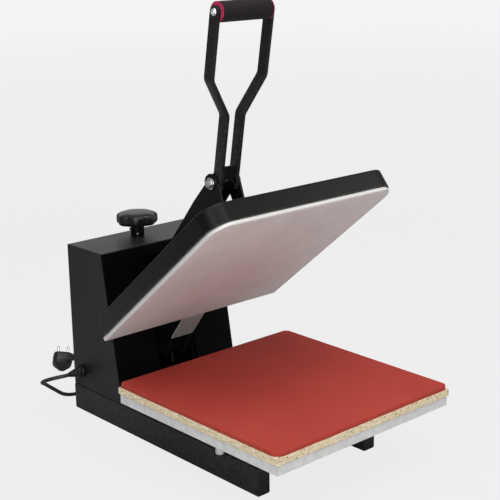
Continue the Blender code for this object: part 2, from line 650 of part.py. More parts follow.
def build_lever(lever):
    """Twin links, handle bars, knee bolt and grip."""
    shoulder = along(KNEE, LINK_SLOPE, 72)
    heading = atan2(LINK_SLOPE[1], LINK_SLOPE[0])
    across = (-sin(heading), cos(heading))
    outline = []
    for k in range(7):
        t = heading + pi / 2 + pi * k / 6
        outline.append((KNEE[0] + 17 * cos(t), KNEE[1] + 17 * sin(t)))
    outline.append((shoulder[0] - across[0] * 20, shoulder[1] - across[1] * 20))
    for k in range(7):
        t = heading - pi / 2 + pi * k / 6
        outline.append((LEVER_PIVOT[0] + 17 * cos(t), LEVER_PIVOT[1] + 17 * sin(t)))
    outline.append((shoulder[0] + across[0] * 20, shoulder[1] + across[1] * 20))
    holes = [circle(KNEE, PIN_R + GAP), circle(LEVER_PIVOT, PIN_R + GAP)]
    gaps = []
    for start, end in ((-30, 128), (146, LINK_LONG + 30)):
        corners = []
        for s, n in rectangle((start, -40), (end, 40)):
            middle = along(KNEE, LINK_SLOPE, s)
            corners.append((middle[0] + across[0] * n, middle[1] + across[1] * n))
        gaps.append(plate(corners, -LINK_IN, LINK_IN, "X"))
    yoke = plate(outline, -LINK_OUT, LINK_OUT, "X", holes)
    add("link_yoke", yoke, "black_powder_coat", lever, gaps)

    lean = radians(HANDLE_LEAN)
    up = Vector((0, -sin(lean), cos(lean)))
    ahead = Vector((0, -cos(lean), -sin(lean)))
    grip = Vector(at_x(0, GRIP))
    low, bend_low, bend_high, top = BAR_STATIONS
    inner_low, inner_top, thick = BAR_IN, BAR_TOP_IN, BAR_OUT - BAR_IN
    for side, sign in SIDES:
        centre = [(inner_low, low), (inner_low, bend_low), (inner_top, bend_high), (inner_top, top)]
        outside = [(x + thick, s - (1.6 if s in (bend_low, bend_high) else 0)) for x, s in centre]
        bm = bmesh.new()
        loops = []
        for n in (-BAR_WIDE / 2, BAR_WIDE / 2):
            points = [grip + Vector((sign * x, 0, 0)) + up * s + ahead * n
                      for x, s in centre + list(reversed(outside))]
            loops.append([bm.verts.new(p) for p in points])
        bm.faces.new(loops[0])
        bm.faces.new(list(reversed(loops[1])))
        join_rings(bm, loops[0], loops[1])
        ends = [e for e in bm.edges if abs(e.verts[0].co.x - e.verts[1].co.x) > thick - 1
                and all((v.co - grip).dot(up) > top - 1 for v in e.verts)]
        bmesh.ops.bevel(bm, geom=ends, offset=9.0, segments=4, profile=0.5, affect="EDGES")
        tools = [rod(at_x(0, KNEE), 6.2, min(sign * 5, sign * 28), max(sign * 5, sign * 28), "X", 12),
                 rod(at_x(0, GRIP), 4.3, min(sign * 45, sign * 66), max(sign * 45, sign * 66), "X", 12)]
        add(f"{side}_handle_bar", bm, "black_powder_coat", lever, tools)

    mid = grip + up * (low + 31)
    rings = []
    for s in (-11.0, 11.0):
        ring = []
        for x, n in rectangle((-BAR_IN + GAP, 6.5), (BAR_IN - GAP, 9.5)):
            ring.append(mid + Vector((x, 0, 0)) + up * s + ahead * n)
        rings.append(ring)
    add("cross_plate", lofted(rings), "black_powder_coat", lever)

    end = TOGGLE_OUT + GAP
    profile = [(0, -end - 7), (6.8, -end - 7), (7.5, -end - 6.3), (7.5, -end - 1.6), (10, -end - 1.6),
               (10, -end), (PIN_R, -end), (PIN_R, end), (10, end), (10, end + 1.6), (7.5, end + 1.6),
               (7.5, end + 7), (PIN_R, end + 7.5), (PIN_R - 0.5, end + 11), (0, end + 11)]
    add("knee_bolt", turned(profile, at_x(0, KNEE), "X", 12), "zinc_steel", lever)

    bar = BAR_TOP_IN + thick + GAP
    profile = [(0, -bar - 3.5), (3.5, -bar - 3.5), (6.5, -bar - 1.2), (6.5, -bar), (4, -bar), (4, bar),
               (6.5, bar), (6.5, bar + 1.2), (3.5, bar + 3.5), (0, bar + 3.5)]
    add("grip_rod", turned(profile, at_x(0, GRIP), "X", 12), "zinc_steel", lever)
    foam = tube(at_x(0, GRIP), 4.4, GRIP_R, -GRIP_HALF, GRIP_HALF, segments=20)
    add("foam_grip", foam, "foam_black", lever)


def build_toggle(toggle):
    """The twin plates under the knee and the pin through their feet."""
    outline = bar_with_round_ends(TOGGLE_FOOT, KNEE, 11.0, 16.5)
    holes = [circle(KNEE, PIN_R + GAP), circle(TOGGLE_FOOT, FOOT_PIN_R + GAP, 12)]
    for side, sign in SIDES:
        span = sorted((sign * TOGGLE_IN, sign * TOGGLE_OUT))
        add(f"{side}_toggle", plate(outline, *span, "X", holes), "black_powder_coat", toggle)
    out = BRACKET_OUT + 1
    profile = [(0, -out - 2.5), (8.5, -out - 2.5), (8.5, -out), (FOOT_PIN_R, -out), (FOOT_PIN_R, out),
               (8.5, out), (8.5, out + 2.5), (0, out + 2.5)]
    add("toggle_pin", turned(profile, at_x(0, TOGGLE_FOOT), "X", 12), "zinc_steel", toggle)


def build_carriage(carriage):
    """The pressure carriage: it holds the lever's pivot, and the screw under the knob moves it."""
    front, guide = LEVER_PIVOT, GUIDE
    tail = (KNOB_Y, GUIDE[1])
    outline = []
    for k in range(6):
        t = pi / 2 + pi * k / 5
        outline.append((front[0] + 13 * cos(t), front[1] + 13 * sin(t)))
    outline += [(guide[0], guide[1] - 17), (tail[0] + 14, tail[1] - 9), (tail[0] + 14, tail[1] + 9),
                (guide[0], guide[1] + 18)]
    holes = [circle(front, PIN_R + GAP), circle(guide, PIN_R + GAP)]
    body = plate(outline, -CHEEK_OUT, CHEEK_OUT, "X", holes)
    slot = block((-CHEEK_IN, CHEEK_IN), (200, tail[0] - 14), (200, 300))
    screw = rod((0, KNOB_Y, 0), PIN_R + 0.8, 200, 300, "Z")
    add("pressure_carriage", body, "black_powder_coat", carriage, [slot, screw])
    end = CHEEK_OUT + GAP
    profile = [(0, -end - 2), (7, -end - 2), (7, -end), (PIN_R, -end), (PIN_R, end), (7, end),
               (7, end + 2), (0, end + 2)]
    add("lever_pivot_pin", turned(profile, at_x(0, front), "X", 12), "zinc_steel", carriage)
    end = COLUMN_OUT - 0.5
    add("guide_pin", rod(at_x(0, guide), PIN_R, -end, end), "zinc_steel", carriage)


def build_knob(knob):
    """The star knob, its collar and the screw that it turns."""
    rings = []
    for z, radius, depth in KNOB_SECTION:
        ring = []
        for k in range(KNOB_LOBES * 6):
            t = 2 * pi * k / (KNOB_LOBES * 6)
            r = radius - depth * (0.5 + 0.5 * cos(KNOB_LOBES * t))
            ring.append((r * cos(t), KNOB_Y + r * sin(t), z))
        rings.append(ring)
    bore = rod((0, KNOB_Y, 0), PIN_R + GAP, 300, 346, "Z")
    add("pressure_knob", lofted(rings), "black_plastic", knob, [bore])
    screw = rod((0, KNOB_Y, 0), PIN_R, 228, 345, "Z", 16)
    add("pressure_screw", screw, "zinc_steel", knob)


# Springs and mains lead

def smooth(points, spacing):
    """Evenly read points of a smooth curve through hand-placed ones (Catmull-Rom)."""
    ends = [Vector(points[0]) * 2 - Vector(points[1]), *map(Vector, points),
            Vector(points[-1]) * 2 - Vector(points[-2])]
    fine = []
    for a, b, c, d in zip(ends, ends[1:], ends[2:], ends[3:]):
        for k in range(24):
            t = k / 24
            fine.append(0.5 * (2 * b + (c - a) * t + (2 * a - 5 * b + 4 * c - d) * t ** 2
                               + (3 * b - a - 3 * c + d) * t ** 3))
    fine.append(Vector(points[-1]))
    total = sum((q - p).length for p, q in zip(fine, fine[1:]))
    count = max(2, round(total / spacing))
    kept, travelled, wanted = [fine[0]], 0.0, total / count
    for p, q in zip(fine, fine[1:]):
        step = (q - p).length
        while step > 0 and travelled + step >= wanted - 1e-6 and len(kept) < count:
            kept.append(p.lerp(q, (wanted - travelled) / step))
            wanted += total / count
        travelled += step
    kept.append(fine[-1])
    return kept


def wire(name, points, radius, look, where, resolution=2):
    """A round wire along points in layout millimetres."""
    curve = bpy.data.curves.new(name, "CURVE")
    curve.dimensions = "3D"
    curve.bevel_depth = radius * MM
    curve.bevel_resolution = resolution
    curve.use_fill_caps = True
    line = curve.splines.new("POLY")
    line.points.add(len(points) - 1)
    for point, place in zip(line.points, points):
        point.co = (*((Vector(place) - where["origin"]) * MM), 1)
    curve.materials.append(material(look))
    piece = bpy.data.objects.new(name, curve)
    piece.parent = where["empty"]
    bpy.context.scene.collection.objects.link(piece)
    return piece


def build_springs(base):
    """Two extension springs between the arm's tail pin and the anchor pin."""
    top = Vector(at_x(0, closed_to_open(TAIL_CLOSED)))
    low = Vector(at_x(0, ANCHOR))
    low = low + (top - low).normalized() * (4 + 2.2)
    top = top - (top - low).normalized() * (FOOT_PIN_R + 2.2)
    axis = (top - low).normalized()
    side = Vector((1, 0, 0))
    front = axis.cross(side)
    steps = SPRING_TURNS * 8
    for name, sign in (("left_lift_spring", -1), ("right_lift_spring", 1)):
        points = []
        for k in range(steps + 1):
            t = 2 * pi * k / 8
            round_part = (side * cos(t) + front * sin(t)) * SPRING_R
            points.append(low + (top - low) * k / steps + round_part + Vector((sign * SPRING_X, 0, 0)))
        wire(name, points, SPRING_WIRE, "spring_steel", base, 1)


# The lead's route from the strain relief to the coil, and from the coil to the plug
CORD_ROUTE = [
    (-160.8, 388, 79), (-169, 388.7, 78.9), (-178.5, 392.2, 78.2), (-187.6, 399, 76),
    (-194.2, 409.3, 71.7), (-195.7, 420.5, 66), (-191.1, 432, 59.1), (-179.3, 441.9, 50.6),
    (-158.8, 448.9, 34), (-131.2, 455, 13.5), (-99.4, 459.5, 4.8), (-63.5, 466, CORD_R + FLOOR),
    (-20, 476, CORD_R + FLOOR), (20, 489, CORD_R + FLOOR), (52, 501.6, CORD_R + FLOOR),
    (76, 510.8, CORD_R + FLOOR), (95, 515.7, CORD_R + FLOOR),
]
PLUG_ROUTE = [
    (92, 602.4, 9.9), (78, 602.7, 9.2), (58, 602.6, 9), (40, 601.9, 10.4), (22, 600.8, 12.8),
    (6, 599.4, 15.6), (-6, 598.2, 17.8), (-14.5, 597.4, 19.2),
]


def build_lead(base):
    """Gland, strain relief, cord, coil and plug."""
    y, z = GLAND
    x = -HOUSE_HALF
    profile = [(0, x + 14), (7.3, x + 14), (7.3, x - GAP), (11.5, x - GAP), (11.5, x - 4.5), (10, x - 6),
               (10, x - 12), (8.2, x - 13), (4.6, x - 28), (4.6, x - 28.2), (0, x - 28.2)]
    gland = turned(profile, (0, y, z), "X", 16)
    add("cord_gland", gland, "black_plastic", base)
    wire("mains_cord", smooth(CORD_ROUTE, 9.0), CORD_R, "cord_rubber", base, 2)
    coil = tube((*COIL_CENTRE, 0), COIL_R - 2 * CORD_R, COIL_R + 2 * CORD_R, FLOOR, FLOOR + 4 * CORD_R,
                "Z", 24)
    add("cord_coil", coil, "cord_rubber", base)
    wire("plug_cord", smooth(PLUG_ROUTE, 9.0), CORD_R, "cord_rubber", base, 2)

    heading = Vector(PLUG_HEADING).normalized()
    side = heading.cross(Vector((0, 0, 1))).normalized()
    up = side.cross(heading)
    rings = []
    for behind, wide, tall in PLUG_SECTIONS:
        ring = []
        for a, b in rounded((-wide, -tall), (wide, tall), min(wide, tall) * 0.55, 2):
            ring.append(Vector(PLUG_FACE) - heading * behind + side * a + up * b)
        rings.append(ring)
    add("mains_plug", lofted(rings), "black_plastic", base)


def main():
    """Build every piece."""
    for old in list(bpy.data.objects):
        bpy.data.objects.remove(old, do_unlink=True)
    base = group("press")
    build_base(base)
    build_bed(base)
    build_columns(base)
    build_housing(base)
    face = group("front_face", (0, HOUSE_FRONT_LOW, LEG_HIGH), -LEAN, base)
    build_front(face)
    build_buttons(face)
    build_electrics(base)
    build_springs(base)
    build_lead(base)
    platen = group("platen_axis", at_x(0, HINGE), -radians(OPEN_ANGLE), base)
    build_platen(platen)
    build_arm(platen)
    lever = group("lever_axis", at_x(0, LEVER_PIVOT), 0.0, base)
    build_lever(lever)
    build_toggle(group("toggle_axis", at_x(0, KNEE), 0.0, lever))
    build_carriage(group("carriage_axis", at_x(0, GUIDE), 0.0, base))
    build_knob(group("knob_axis", (0, KNOB_Y, 0), 0.0, base))


main()
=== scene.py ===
import json
from math import cos, pi, radians, sin

import bmesh
import bpy
from mathutils import Matrix, Vector, noise


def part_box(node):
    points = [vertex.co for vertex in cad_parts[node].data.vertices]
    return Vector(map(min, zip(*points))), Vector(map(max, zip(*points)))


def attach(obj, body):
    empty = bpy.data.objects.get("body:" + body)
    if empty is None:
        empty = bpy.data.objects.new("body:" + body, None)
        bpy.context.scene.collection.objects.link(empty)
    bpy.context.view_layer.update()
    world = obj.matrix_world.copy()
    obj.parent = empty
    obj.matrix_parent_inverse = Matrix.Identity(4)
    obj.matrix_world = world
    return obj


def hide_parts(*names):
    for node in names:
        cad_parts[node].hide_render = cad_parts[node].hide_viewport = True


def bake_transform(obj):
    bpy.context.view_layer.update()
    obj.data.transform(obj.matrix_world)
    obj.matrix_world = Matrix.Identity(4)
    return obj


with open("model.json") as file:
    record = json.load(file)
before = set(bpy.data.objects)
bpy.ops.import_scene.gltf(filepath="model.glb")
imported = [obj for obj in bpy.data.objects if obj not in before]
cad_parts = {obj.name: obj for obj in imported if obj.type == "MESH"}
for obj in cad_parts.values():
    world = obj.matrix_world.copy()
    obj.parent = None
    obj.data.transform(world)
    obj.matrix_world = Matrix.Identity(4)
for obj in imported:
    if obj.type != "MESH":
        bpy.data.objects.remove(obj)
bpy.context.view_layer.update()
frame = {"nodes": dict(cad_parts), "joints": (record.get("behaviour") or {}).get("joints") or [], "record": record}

# Units and frames.  Shapes are drawn in millimetres about the middle of the work surface, as in the
# CAD source, and piece() carries them into the frame.
MM = 0.001
BOARD_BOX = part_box("base_board")
WORK_Y = (BOARD_BOX[0].y + BOARD_BOX[1].y) / 2
JOINTS = {joint["name"]: joint for joint in frame["joints"]}
OPEN_ANGLE = radians(JOINTS["platen_hinge"]["range_deg"][1])


def layout(point):
    """A point of the frame in metres, as a layout point in millimetres."""
    return Vector((point[0], point[1] - WORK_Y, point[2])) / MM


HINGE = layout(JOINTS["platen_hinge"]["pos_m"])
KNEE = layout(JOINTS["toggle_hinge"]["pos_m"])
LIFT = Matrix.Translation(HINGE) @ Matrix.Rotation(-OPEN_ANGLE, 4, "X") @ Matrix.Translation(-HINGE)


# Materials

class Look:
    """A node material being built round its Principled shader; noises are read in metres."""

    def __init__(self, name, metallic=0.0, **sockets):
        self.material = bpy.data.materials.new(name)
        self.material.use_nodes = True
        self.tree = self.material.node_tree
        self.shader = self.tree.nodes["Principled BSDF"]
        self.place = self.tree.nodes.new("ShaderNodeTexCoord").outputs["Object"]
        self.shader.inputs["Metallic"].default_value = metallic
        for socket, value in sockets.items():
            self.shader.inputs[socket.replace("_", " ")].default_value = value
        self.normal = None

    def node(self, kind, values=(), **settings):
        """A new node with its settings and its unlinked or linked inputs."""
        made = self.tree.nodes.new(kind)
        for setting, value in settings.items():
            setattr(made, setting, value)
        for socket, value in values:
            if isinstance(value, bpy.types.NodeSocket):
                self.tree.links.new(value, made.inputs[socket])
            else:
                made.inputs[socket].default_value = value
        return made

    def stretched(self, stretch):
        """The texture place, scaled along each axis."""
        if stretch == (1, 1, 1):
            return self.place
        return self.node("ShaderNodeMapping", [("Vector", self.place), ("Scale", stretch)]).outputs[0]

    def noise(self, scale, detail=2.0, rough=0.5, stretch=(1, 1, 1)):
        """A grey noise of so many features a metre."""
        values = [("Vector", self.stretched(stretch)), ("Scale", scale), ("Detail", detail),
                  ("Roughness", rough)]
        return self.node("ShaderNodeTexNoise", values).outputs[0]

    def cells(self, scale, output="Distance", stretch=(1, 1, 1), feature="F1"):
        """A cell pattern: its distances, or a random colour for each cell."""
        values = [("Vector", self.stretched(stretch)), ("Scale", scale)]
        return self.node("ShaderNodeTexVoronoi", values, feature=feature).outputs[output]

    def spread(self, value, low, high, to_low=0.0, to_high=1.0):
        """A value moved from one range to another, and held inside it."""
        values = [("Value", value), ("From Min", low), ("From Max", high), ("To Min", to_low),
                  ("To Max", to_high)]
        return self.node("ShaderNodeMapRange", values).outputs[0]

    def mix(self, factor, a, b, blend="MIX"):
        """Two colours mixed by a factor."""
        made = self.node("ShaderNodeMix", data_type="RGBA", blend_type=blend)
        for socket, value in ((made.inputs[0], factor), (made.inputs[6], a), (made.inputs[7], b)):
            if isinstance(value, bpy.types.NodeSocket):
                self.tree.links.new(value, socket)
            elif isinstance(value, tuple):
                socket.default_value = (*value, 1.0)
            else:
                socket.default_value = value
        return made.outputs[2]

    def times(self, a, b):
        """Two values multiplied."""
        return self.node("ShaderNodeMath", [(0, a), (1, b)], operation="MULTIPLY").outputs[0]

    def colour(self, value):
        """Set the base colour."""
        self.tree.links.new(value, self.shader.inputs["Base Color"])

    def roughness(self, value, low, high):
        """Set the roughness from a grey pattern."""
        self.tree.links.new(self.spread(value, 0.25, 0.75, low, high), self.shader.inputs["Roughness"])

    def bump(self, height, depth):
        """Add a relief of that depth in metres to the surface."""
        values = [("Height", height), ("Strength", 1.0), ("Distance", depth)]
        if self.normal:
            values.append(("Normal", self.normal))
        self.normal = self.node("ShaderNodeBump", values).outputs[0]
        self.tree.links.new(self.normal, self.shader.inputs["Normal"])

    def edges(self, low, high):
        """1 on sharp outer edges, 0 elsewhere, broken up by a noise: the mask of a painted edge highlight."""
        sharp = self.node("ShaderNodeNewGeometry").outputs["Pointiness"]
        return self.times(self.spread(sharp, low, high), self.spread(self.noise(160, 3), 0.35, 0.6))


def powder_coat(name, dark, pale, gloss=0.0, shine=0.3, painted_edge_highlight=(0.05, 0.05, 0.053)):
    """Satin black powder coat: fine orange peel, a little dust and a painted highlight on sharp edges."""
    look = Look(name, Specular_IOR_Level=shine)
    broad = look.noise(6, 2)
    dust = look.spread(look.noise(700, 4, 0.7), 0.60, 0.82)
    base = look.mix(look.spread(broad, 0.3, 0.7), dark, pale)
    dusty = look.mix(look.times(dust, 0.06), base, (0.06, 0.059, 0.057))
    # painted highlight: sharp edges are mixed towards a paler edge colour
    look.colour(look.mix(look.edges(0.53, 0.62), dusty, painted_edge_highlight))
    look.roughness(broad, 0.40 - gloss, 0.46 - gloss)
    look.bump(look.noise(1500, 2), 0.000002)
    return look.material


def galvanised():
    """Bright galvanised sheet with faint spangle and rolling streaks."""
    look = Look("galvanised_sheet", metallic=0.25)
    spangle = look.cells(110, "Color")
    streaks = look.noise(90, 3, 0.6, (1, 1, 9))
    base = look.mix(look.spread(spangle, 0.2, 0.8), (0.66, 0.665, 0.66), (0.76, 0.76, 0.75))
    look.colour(look.mix(look.spread(streaks, 0.45, 0.8, 0, 0.5), base, (0.56, 0.56, 0.555)))
    look.roughness(spangle, 0.34, 0.46)
    look.bump(streaks, 0.00004)
    return look.material


def zinc(name="zinc_plate", tint=(0.72, 0.71, 0.69), metallic=1.0):
    """Zinc-plated steel with turned marks and small stains."""
    look = Look(name, metallic)
    stain = look.noise(260, 4, 0.6)
    look.colour(look.mix(look.spread(stain, 0.5, 0.75), tint, tuple(0.62 * c for c in tint)))
    look.roughness(look.noise(500, 3), 0.2, 0.36)
    look.bump(look.noise(2400, 2), 0.00001)
    return look.material


def aluminium():
    """Machined and lightly worn heating plate."""
    look = Look("coated_aluminium", metallic=0.15)
    milling = look.noise(40, 4, 0.55, (1, 24, 24))
    smudge = look.noise(11, 4, 0.6)
    base = look.mix(look.spread(smudge, 0.35, 0.7), (0.72, 0.70, 0.68), (0.64, 0.615, 0.595))
    scratch = look.spread(look.noise(130, 2, 0.5, (1, 14, 14)), 0.68, 0.76, 0, 0.25)
    look.colour(look.mix(scratch, base, (0.78, 0.77, 0.76)))
    look.roughness(smudge, 0.50, 0.60)
    look.bump(milling, 0.00002)
    return look.material


def chipboard():
    """Raw chipboard: pressed flakes in several tones, with dark specks."""
    look = Look("raw_chipboard", Roughness=0.9, Specular_IOR_Level=0.25)
    flakes = look.cells(330, "Color", (0.45, 0.45, 1.6))
    fine = look.noise(1500, 4, 0.65)
    base = look.mix(look.spread(flakes, 0.1, 0.9), (0.62, 0.50, 0.31), (0.86, 0.75, 0.54))
    pale = look.mix(look.spread(fine, 0.52, 0.75, 0, 0.6), base, (0.93, 0.86, 0.68))
    gaps = look.spread(look.cells(330, stretch=(0.45, 0.45, 1.6)), 0.62, 0.86, 0, 0.55)
    shaded = look.mix(gaps, pale, (0.34, 0.235, 0.12))
    specks = look.spread(look.noise(380, 2, 0.5), 0.64, 0.68)
    look.colour(look.mix(specks, shaded, (0.055, 0.035, 0.02)))
    look.roughness(fine, 0.82, 0.97)
    look.bump(fine, 0.00025)
    look.bump(flakes, 0.00018)
    return look.material


def silicone():
    """Matt red silicone foam with a faint moulded texture, lint and pressed patches."""
    look = Look("red_silicone", Specular_IOR_Level=0.08)
    broad = look.noise(8, 3, 0.55)
    grain = look.noise(1700, 3, 0.6)
    base = look.mix(look.spread(broad, 0.3, 0.72), (0.370, 0.043, 0.031), (0.415, 0.054, 0.040))
    mottled = look.mix(look.spread(grain, 0.4, 0.75, 0, 0.35), base, (0.45, 0.075, 0.056))
    lint = look.spread(look.cells(46), 0.035, 0.02)
    look.colour(look.mix(look.times(lint, 0.8), mottled, (0.62, 0.42, 0.36)))
    look.roughness(broad, 0.66, 0.78)
    look.bump(grain, 0.00003)
    return look.material


def foam(name, dark, pale):
    """Closed-cell foam with a soft bloom."""
    look = Look(name, Sheen_Weight=0.05, Sheen_Roughness=0.6, Specular_IOR_Level=0.15)
    cells = look.cells(1500)
    look.colour(look.mix(look.spread(look.noise(240, 4, 0.65), 0.35, 0.7), dark, pale))
    look.roughness(look.noise(300, 2), 0.8, 0.95)
    look.bump(cells, 0.00016)
    return look.material


def plastic(name, dark, pale, low, high, grain=0.00003):
    """Moulded plastic with a fine grain."""
    look = Look(name, Specular_IOR_Level=0.45)
    look.colour(look.mix(look.spread(look.noise(35, 3), 0.3, 0.7), dark, pale))
    look.roughness(look.noise(180, 3), low, high)
    look.bump(look.noise(1900, 2), grain)
    return look.material


def smoked_window():
    """A smoked display window with faint wipe marks."""
    look = Look("smoked_window", Coat_Weight=0.6, Coat_Roughness=0.06)
    wipe = look.noise(60, 3, 0.6, (1, 5, 5))
    look.colour(look.mix(look.spread(wipe, 0.3, 0.7), (0.022, 0.004, 0.004), (0.034, 0.008, 0.008)))
    look.roughness(wipe, 0.06, 0.16)
    look.bump(wipe, 0.000004)
    return look.material


def mineral_wool():
    """Matted pale fibres."""
    look = Look("mineral_wool", Sheen_Weight=0.2)
    fibres = look.noise(420, 5, 0.7, (1, 5, 3))
    look.colour(look.mix(look.spread(fibres, 0.3, 0.7), (0.52, 0.47, 0.34), (0.76, 0.72, 0.60)))
    look.roughness(fibres, 0.85, 1.0)
    look.bump(fibres, 0.0006)
    return look.material


LOOKS = {
    "powder": powder_coat("satin_powder_coat", (0.0056, 0.0057, 0.0068), (0.0076, 0.0077, 0.0090)),
    "bar": powder_coat("lever_powder_coat", (0.0065, 0.0063, 0.0063), (0.0090, 0.0087, 0.0085), 0.02),
    "deep": powder_coat("gloss_powder_coat", (0.0022, 0.0022, 0.0025), (0.0034, 0.0034, 0.0036), 0.08, 0.2,
                        (0.010, 0.010, 0.0105)),
    # painted highlight: the cover's sharp edges are lightened to a pale grey
    "cover": powder_coat("cover_powder_coat", (0.0022, 0.0022, 0.0025), (0.0034, 0.0034, 0.0036), 0.08, 0.2,
                         (0.17, 0.17, 0.175)),
    # painted shade: a darker copy of the powder coat for the parts in the shadowed recess under the platen
    "painted_shade": powder_coat("painted_shade_powder_coat", (0.0012, 0.0012, 0.0015), (0.0020, 0.0020, 0.0023), 0.0, 0.06,
                          (0.004, 0.004, 0.0044)),
    "galvanised": galvanised(),
    "zinc": zinc(),
    "spring": zinc("blackened_steel", (0.085, 0.085, 0.09)),
    "bare": zinc("bare_steel_plate", (0.36, 0.34, 0.335), 0.15),
    "brass": zinc("plated_pins", (0.78, 0.77, 0.74)),
    "aluminium": aluminium(),
    "chipboard": chipboard(),
    "silicone": silicone(),
    "foam": foam("black_foam", (0.0075, 0.0052, 0.0055), (0.015, 0.0108, 0.0112)),
    "red": foam("red_foam", (0.36, 0.018, 0.065), (0.47, 0.032, 0.10)),
    "black": plastic("black_plastic", (0.0060, 0.0060, 0.0065), (0.0090, 0.0090, 0.0095), 0.32, 0.44),
    "knob": plastic("phenolic_knob", (0.0045, 0.0045, 0.0048), (0.0070, 0.0070, 0.0073), 0.30, 0.42,
                    0.00001),
    "grey": plastic("grey_plastic", (0.26, 0.27, 0.28), (0.31, 0.32, 0.33), 0.42, 0.55),
    "cord": plastic("cord_jacket", (0.011, 0.011, 0.0115), (0.016, 0.016, 0.0165), 0.42, 0.56),
    "window": smoked_window(),
    "wool": mineral_wool(),
}
NODE_LOOK = {
    # nodes that differ from the rest of their slot
    "platen_arm": "deep", "toggle_bracket": "deep", "link_yoke": "deep", "cross_plate": "bar",
    # the parts in the shadowed recess take the darker powder coat as painted shade
    "left_toggle": "deep", "right_toggle": "deep", "pressure_carriage": "painted_shade",
    "left_column": "painted_shade", "right_column": "painted_shade", "hinge_barrel": "painted_shade",
    "front_panel": "painted_shade", "rear_beam": "painted_shade", "arm_plate": "bare", "hinge_shaft": "spring",
    "spring_anchor_pin": "spring", "spring_tail_pin": "spring", "guide_pin": "spring",
}
SLOT_LOOK = {
    "powder_coat": "powder", "galvanised": "galvanised", "zinc": "zinc", "aluminium": "aluminium",
    "spring": "spring", "chipboard": "chipboard", "silicone": "silicone", "wool": "wool",
    "foam": "foam", "black_plastic": "black", "grey_plastic": "grey", "window": "window", "cord": "cord",
}

EDGE_RADIUS = {
    # millimetres; other nodes take 0.5
    "housing_shell": 1.2, "front_panel": 0.4, "rear_cover": 0.4, "left_leg": 0.6, "right_leg": 0.6,
    "controller_case": 0.8, "left_toggle": 0.7, "right_toggle": 0.7, "link_yoke": 0.7,
    "platen_arm": 0.8, "toggle_bracket": 0.6, "controller_display": 0.2, "power_rocker": 0.3,
}


def dress_frame():
    """Give every CAD node its material, and its folded or cut edges a small radius."""
    slot_of = {part["node"]: part["material_slot"] for part in frame["record"]["subparts"]}
    for name, node in frame["nodes"].items():
        node.data.materials.clear()
        node.data.materials.append(LOOKS[NODE_LOOK.get(name, SLOT_LOOK[slot_of[name]])])
        weld = node.modifiers.new("weld", "WELD")
        weld.merge_threshold = 0.00001
        bevel = node.modifiers.new("edges", "BEVEL")
        bevel.limit_method = "ANGLE"
        bevel.angle_limit = radians(35)
        bevel.width = EDGE_RADIUS.get(name, 0.5) * MM
        bevel.segments = 2
        bevel.use_clamp_overlap = True
        even = node.modifiers.new("even_shading", "WEIGHTED_NORMAL")
        even.keep_sharp = True


# Shapes, in layout millimetres

def arc(centre, radius, start, end, steps):
    """Points of an arc between two angles in degrees."""
    turns = [radians(start + (end - start) * k / steps) for k in range(steps + 1)]
    return [(centre[0] + radius * cos(t), centre[1] + radius * sin(t)) for t in turns]


def round_box(half, radius, steps=4):
    """Outline of a rectangle with rounded corners about the origin."""
    points = []
    for k, (a, b) in enumerate(((1, 1), (-1, 1), (-1, -1), (1, -1))):
        centre = (a * (half[0] - radius), b * (half[1] - radius))
        points += arc(centre, radius, 90 * k, 90 * k + 90, steps)
    return points


def join(bm, lower, upper):
    """Faces between two closed rings of vertices."""
    for k in range(len(lower)):
        n = (k + 1) % len(lower)
        bm.faces.new((lower[k], lower[n], upper[n], upper[k]))


def loft(bm, rings, closed=False):
    """A skin through rings of points, with flat ends unless the last ring meets the first."""
    loops = [[bm.verts.new(point) for point in ring] for ring in rings]
    for lower, upper in zip(loops, loops[1:]):
        join(bm, lower, upper)
    if closed:
        join(bm, loops[-1], loops[0])
    else:
        bm.faces.new(loops[0])
        bm.faces.new(list(reversed(loops[-1])))
    return bm


def level(outline, z):
    """An outline laid at a height."""
    return [(a, b, z) for a, b in outline]


def frame_of(along):
    """A matrix whose Z axis points along a direction."""
    return Vector(along).to_track_quat("Z", "Y").to_matrix().to_4x4()


def turned(bm, rings, at, along, segments=24):
    """A turned or six-sided body: rings of (height, radius, sides), sides 0 for round, 6 for a hexagon."""
    place = Matrix.Translation(Vector(at)) @ frame_of(along)
    loops = []
    for height, radius, sides in rings:
        loop = []
        for k in range(segments):
            t = 2 * pi * k / segments
            r = radius
            if sides:
                r = radius * cos(pi / sides) / cos(t % (2 * pi / sides) - pi / sides)
            loop.append(place @ Vector((r * cos(t), r * sin(t), height)))
        loops.append(loop)
    return loft(bm, loops)


def hex_head(bm, at, along, radius, height, washer=0.0):
    """A hexagon head, or a nut, on a washer."""
    base = 0.0
    if washer:
        turned(bm, [(0, washer - 0.3, 0), (0.3, washer, 0), (1.3, washer, 0), (1.6, washer - 0.3, 0)],
               at, along)
        base = 1.6
    flat = radius * cos(pi / 6)
    rings = [(base, radius * 0.97, 6), (base + 0.4, radius, 6), (base + height - 0.9, radius, 6),
             (base + height - 0.3, flat, 0), (base + height, flat * 0.93, 0),
             (base + height - 0.35, flat * 0.5, 0)]
    return turned(bm, rings, at, along)


def socket_head(bm, at, along, radius, height):
    """A domed head with a hexagon socket."""
    dome = [(height * sin(radians(a)), radius * cos(radians(a)), 0) for a in (0, 18, 36, 54)]
    key = radius * 0.45
    rings = [(-0.2, radius * 0.96, 0), *dome, (height, key * 1.15, 0), (height - 0.15, key, 6),
             (height * 0.35, key, 6)]
    return turned(bm, rings, at, along)


def tube(bm, points, radius, segments=12, squash=1.0):
    """A round wire through points, with flat ends."""
    points = [Vector(p) for p in points]
    rings = []
    side = None
    for k, point in enumerate(points):
        ahead = points[min(k + 1, len(points) - 1)] - points[max(k - 1, 0)]
        ahead.normalize()
        if side is None:
            side = ahead.orthogonal()
        side = (side - ahead * side.dot(ahead)).normalized()
        up = ahead.cross(side)
        rings.append([point + (side * cos(t) + up * sin(t) * squash) * radius
                      for t in (2 * pi * n / segments for n in range(segments))])
    return loft(bm, rings)


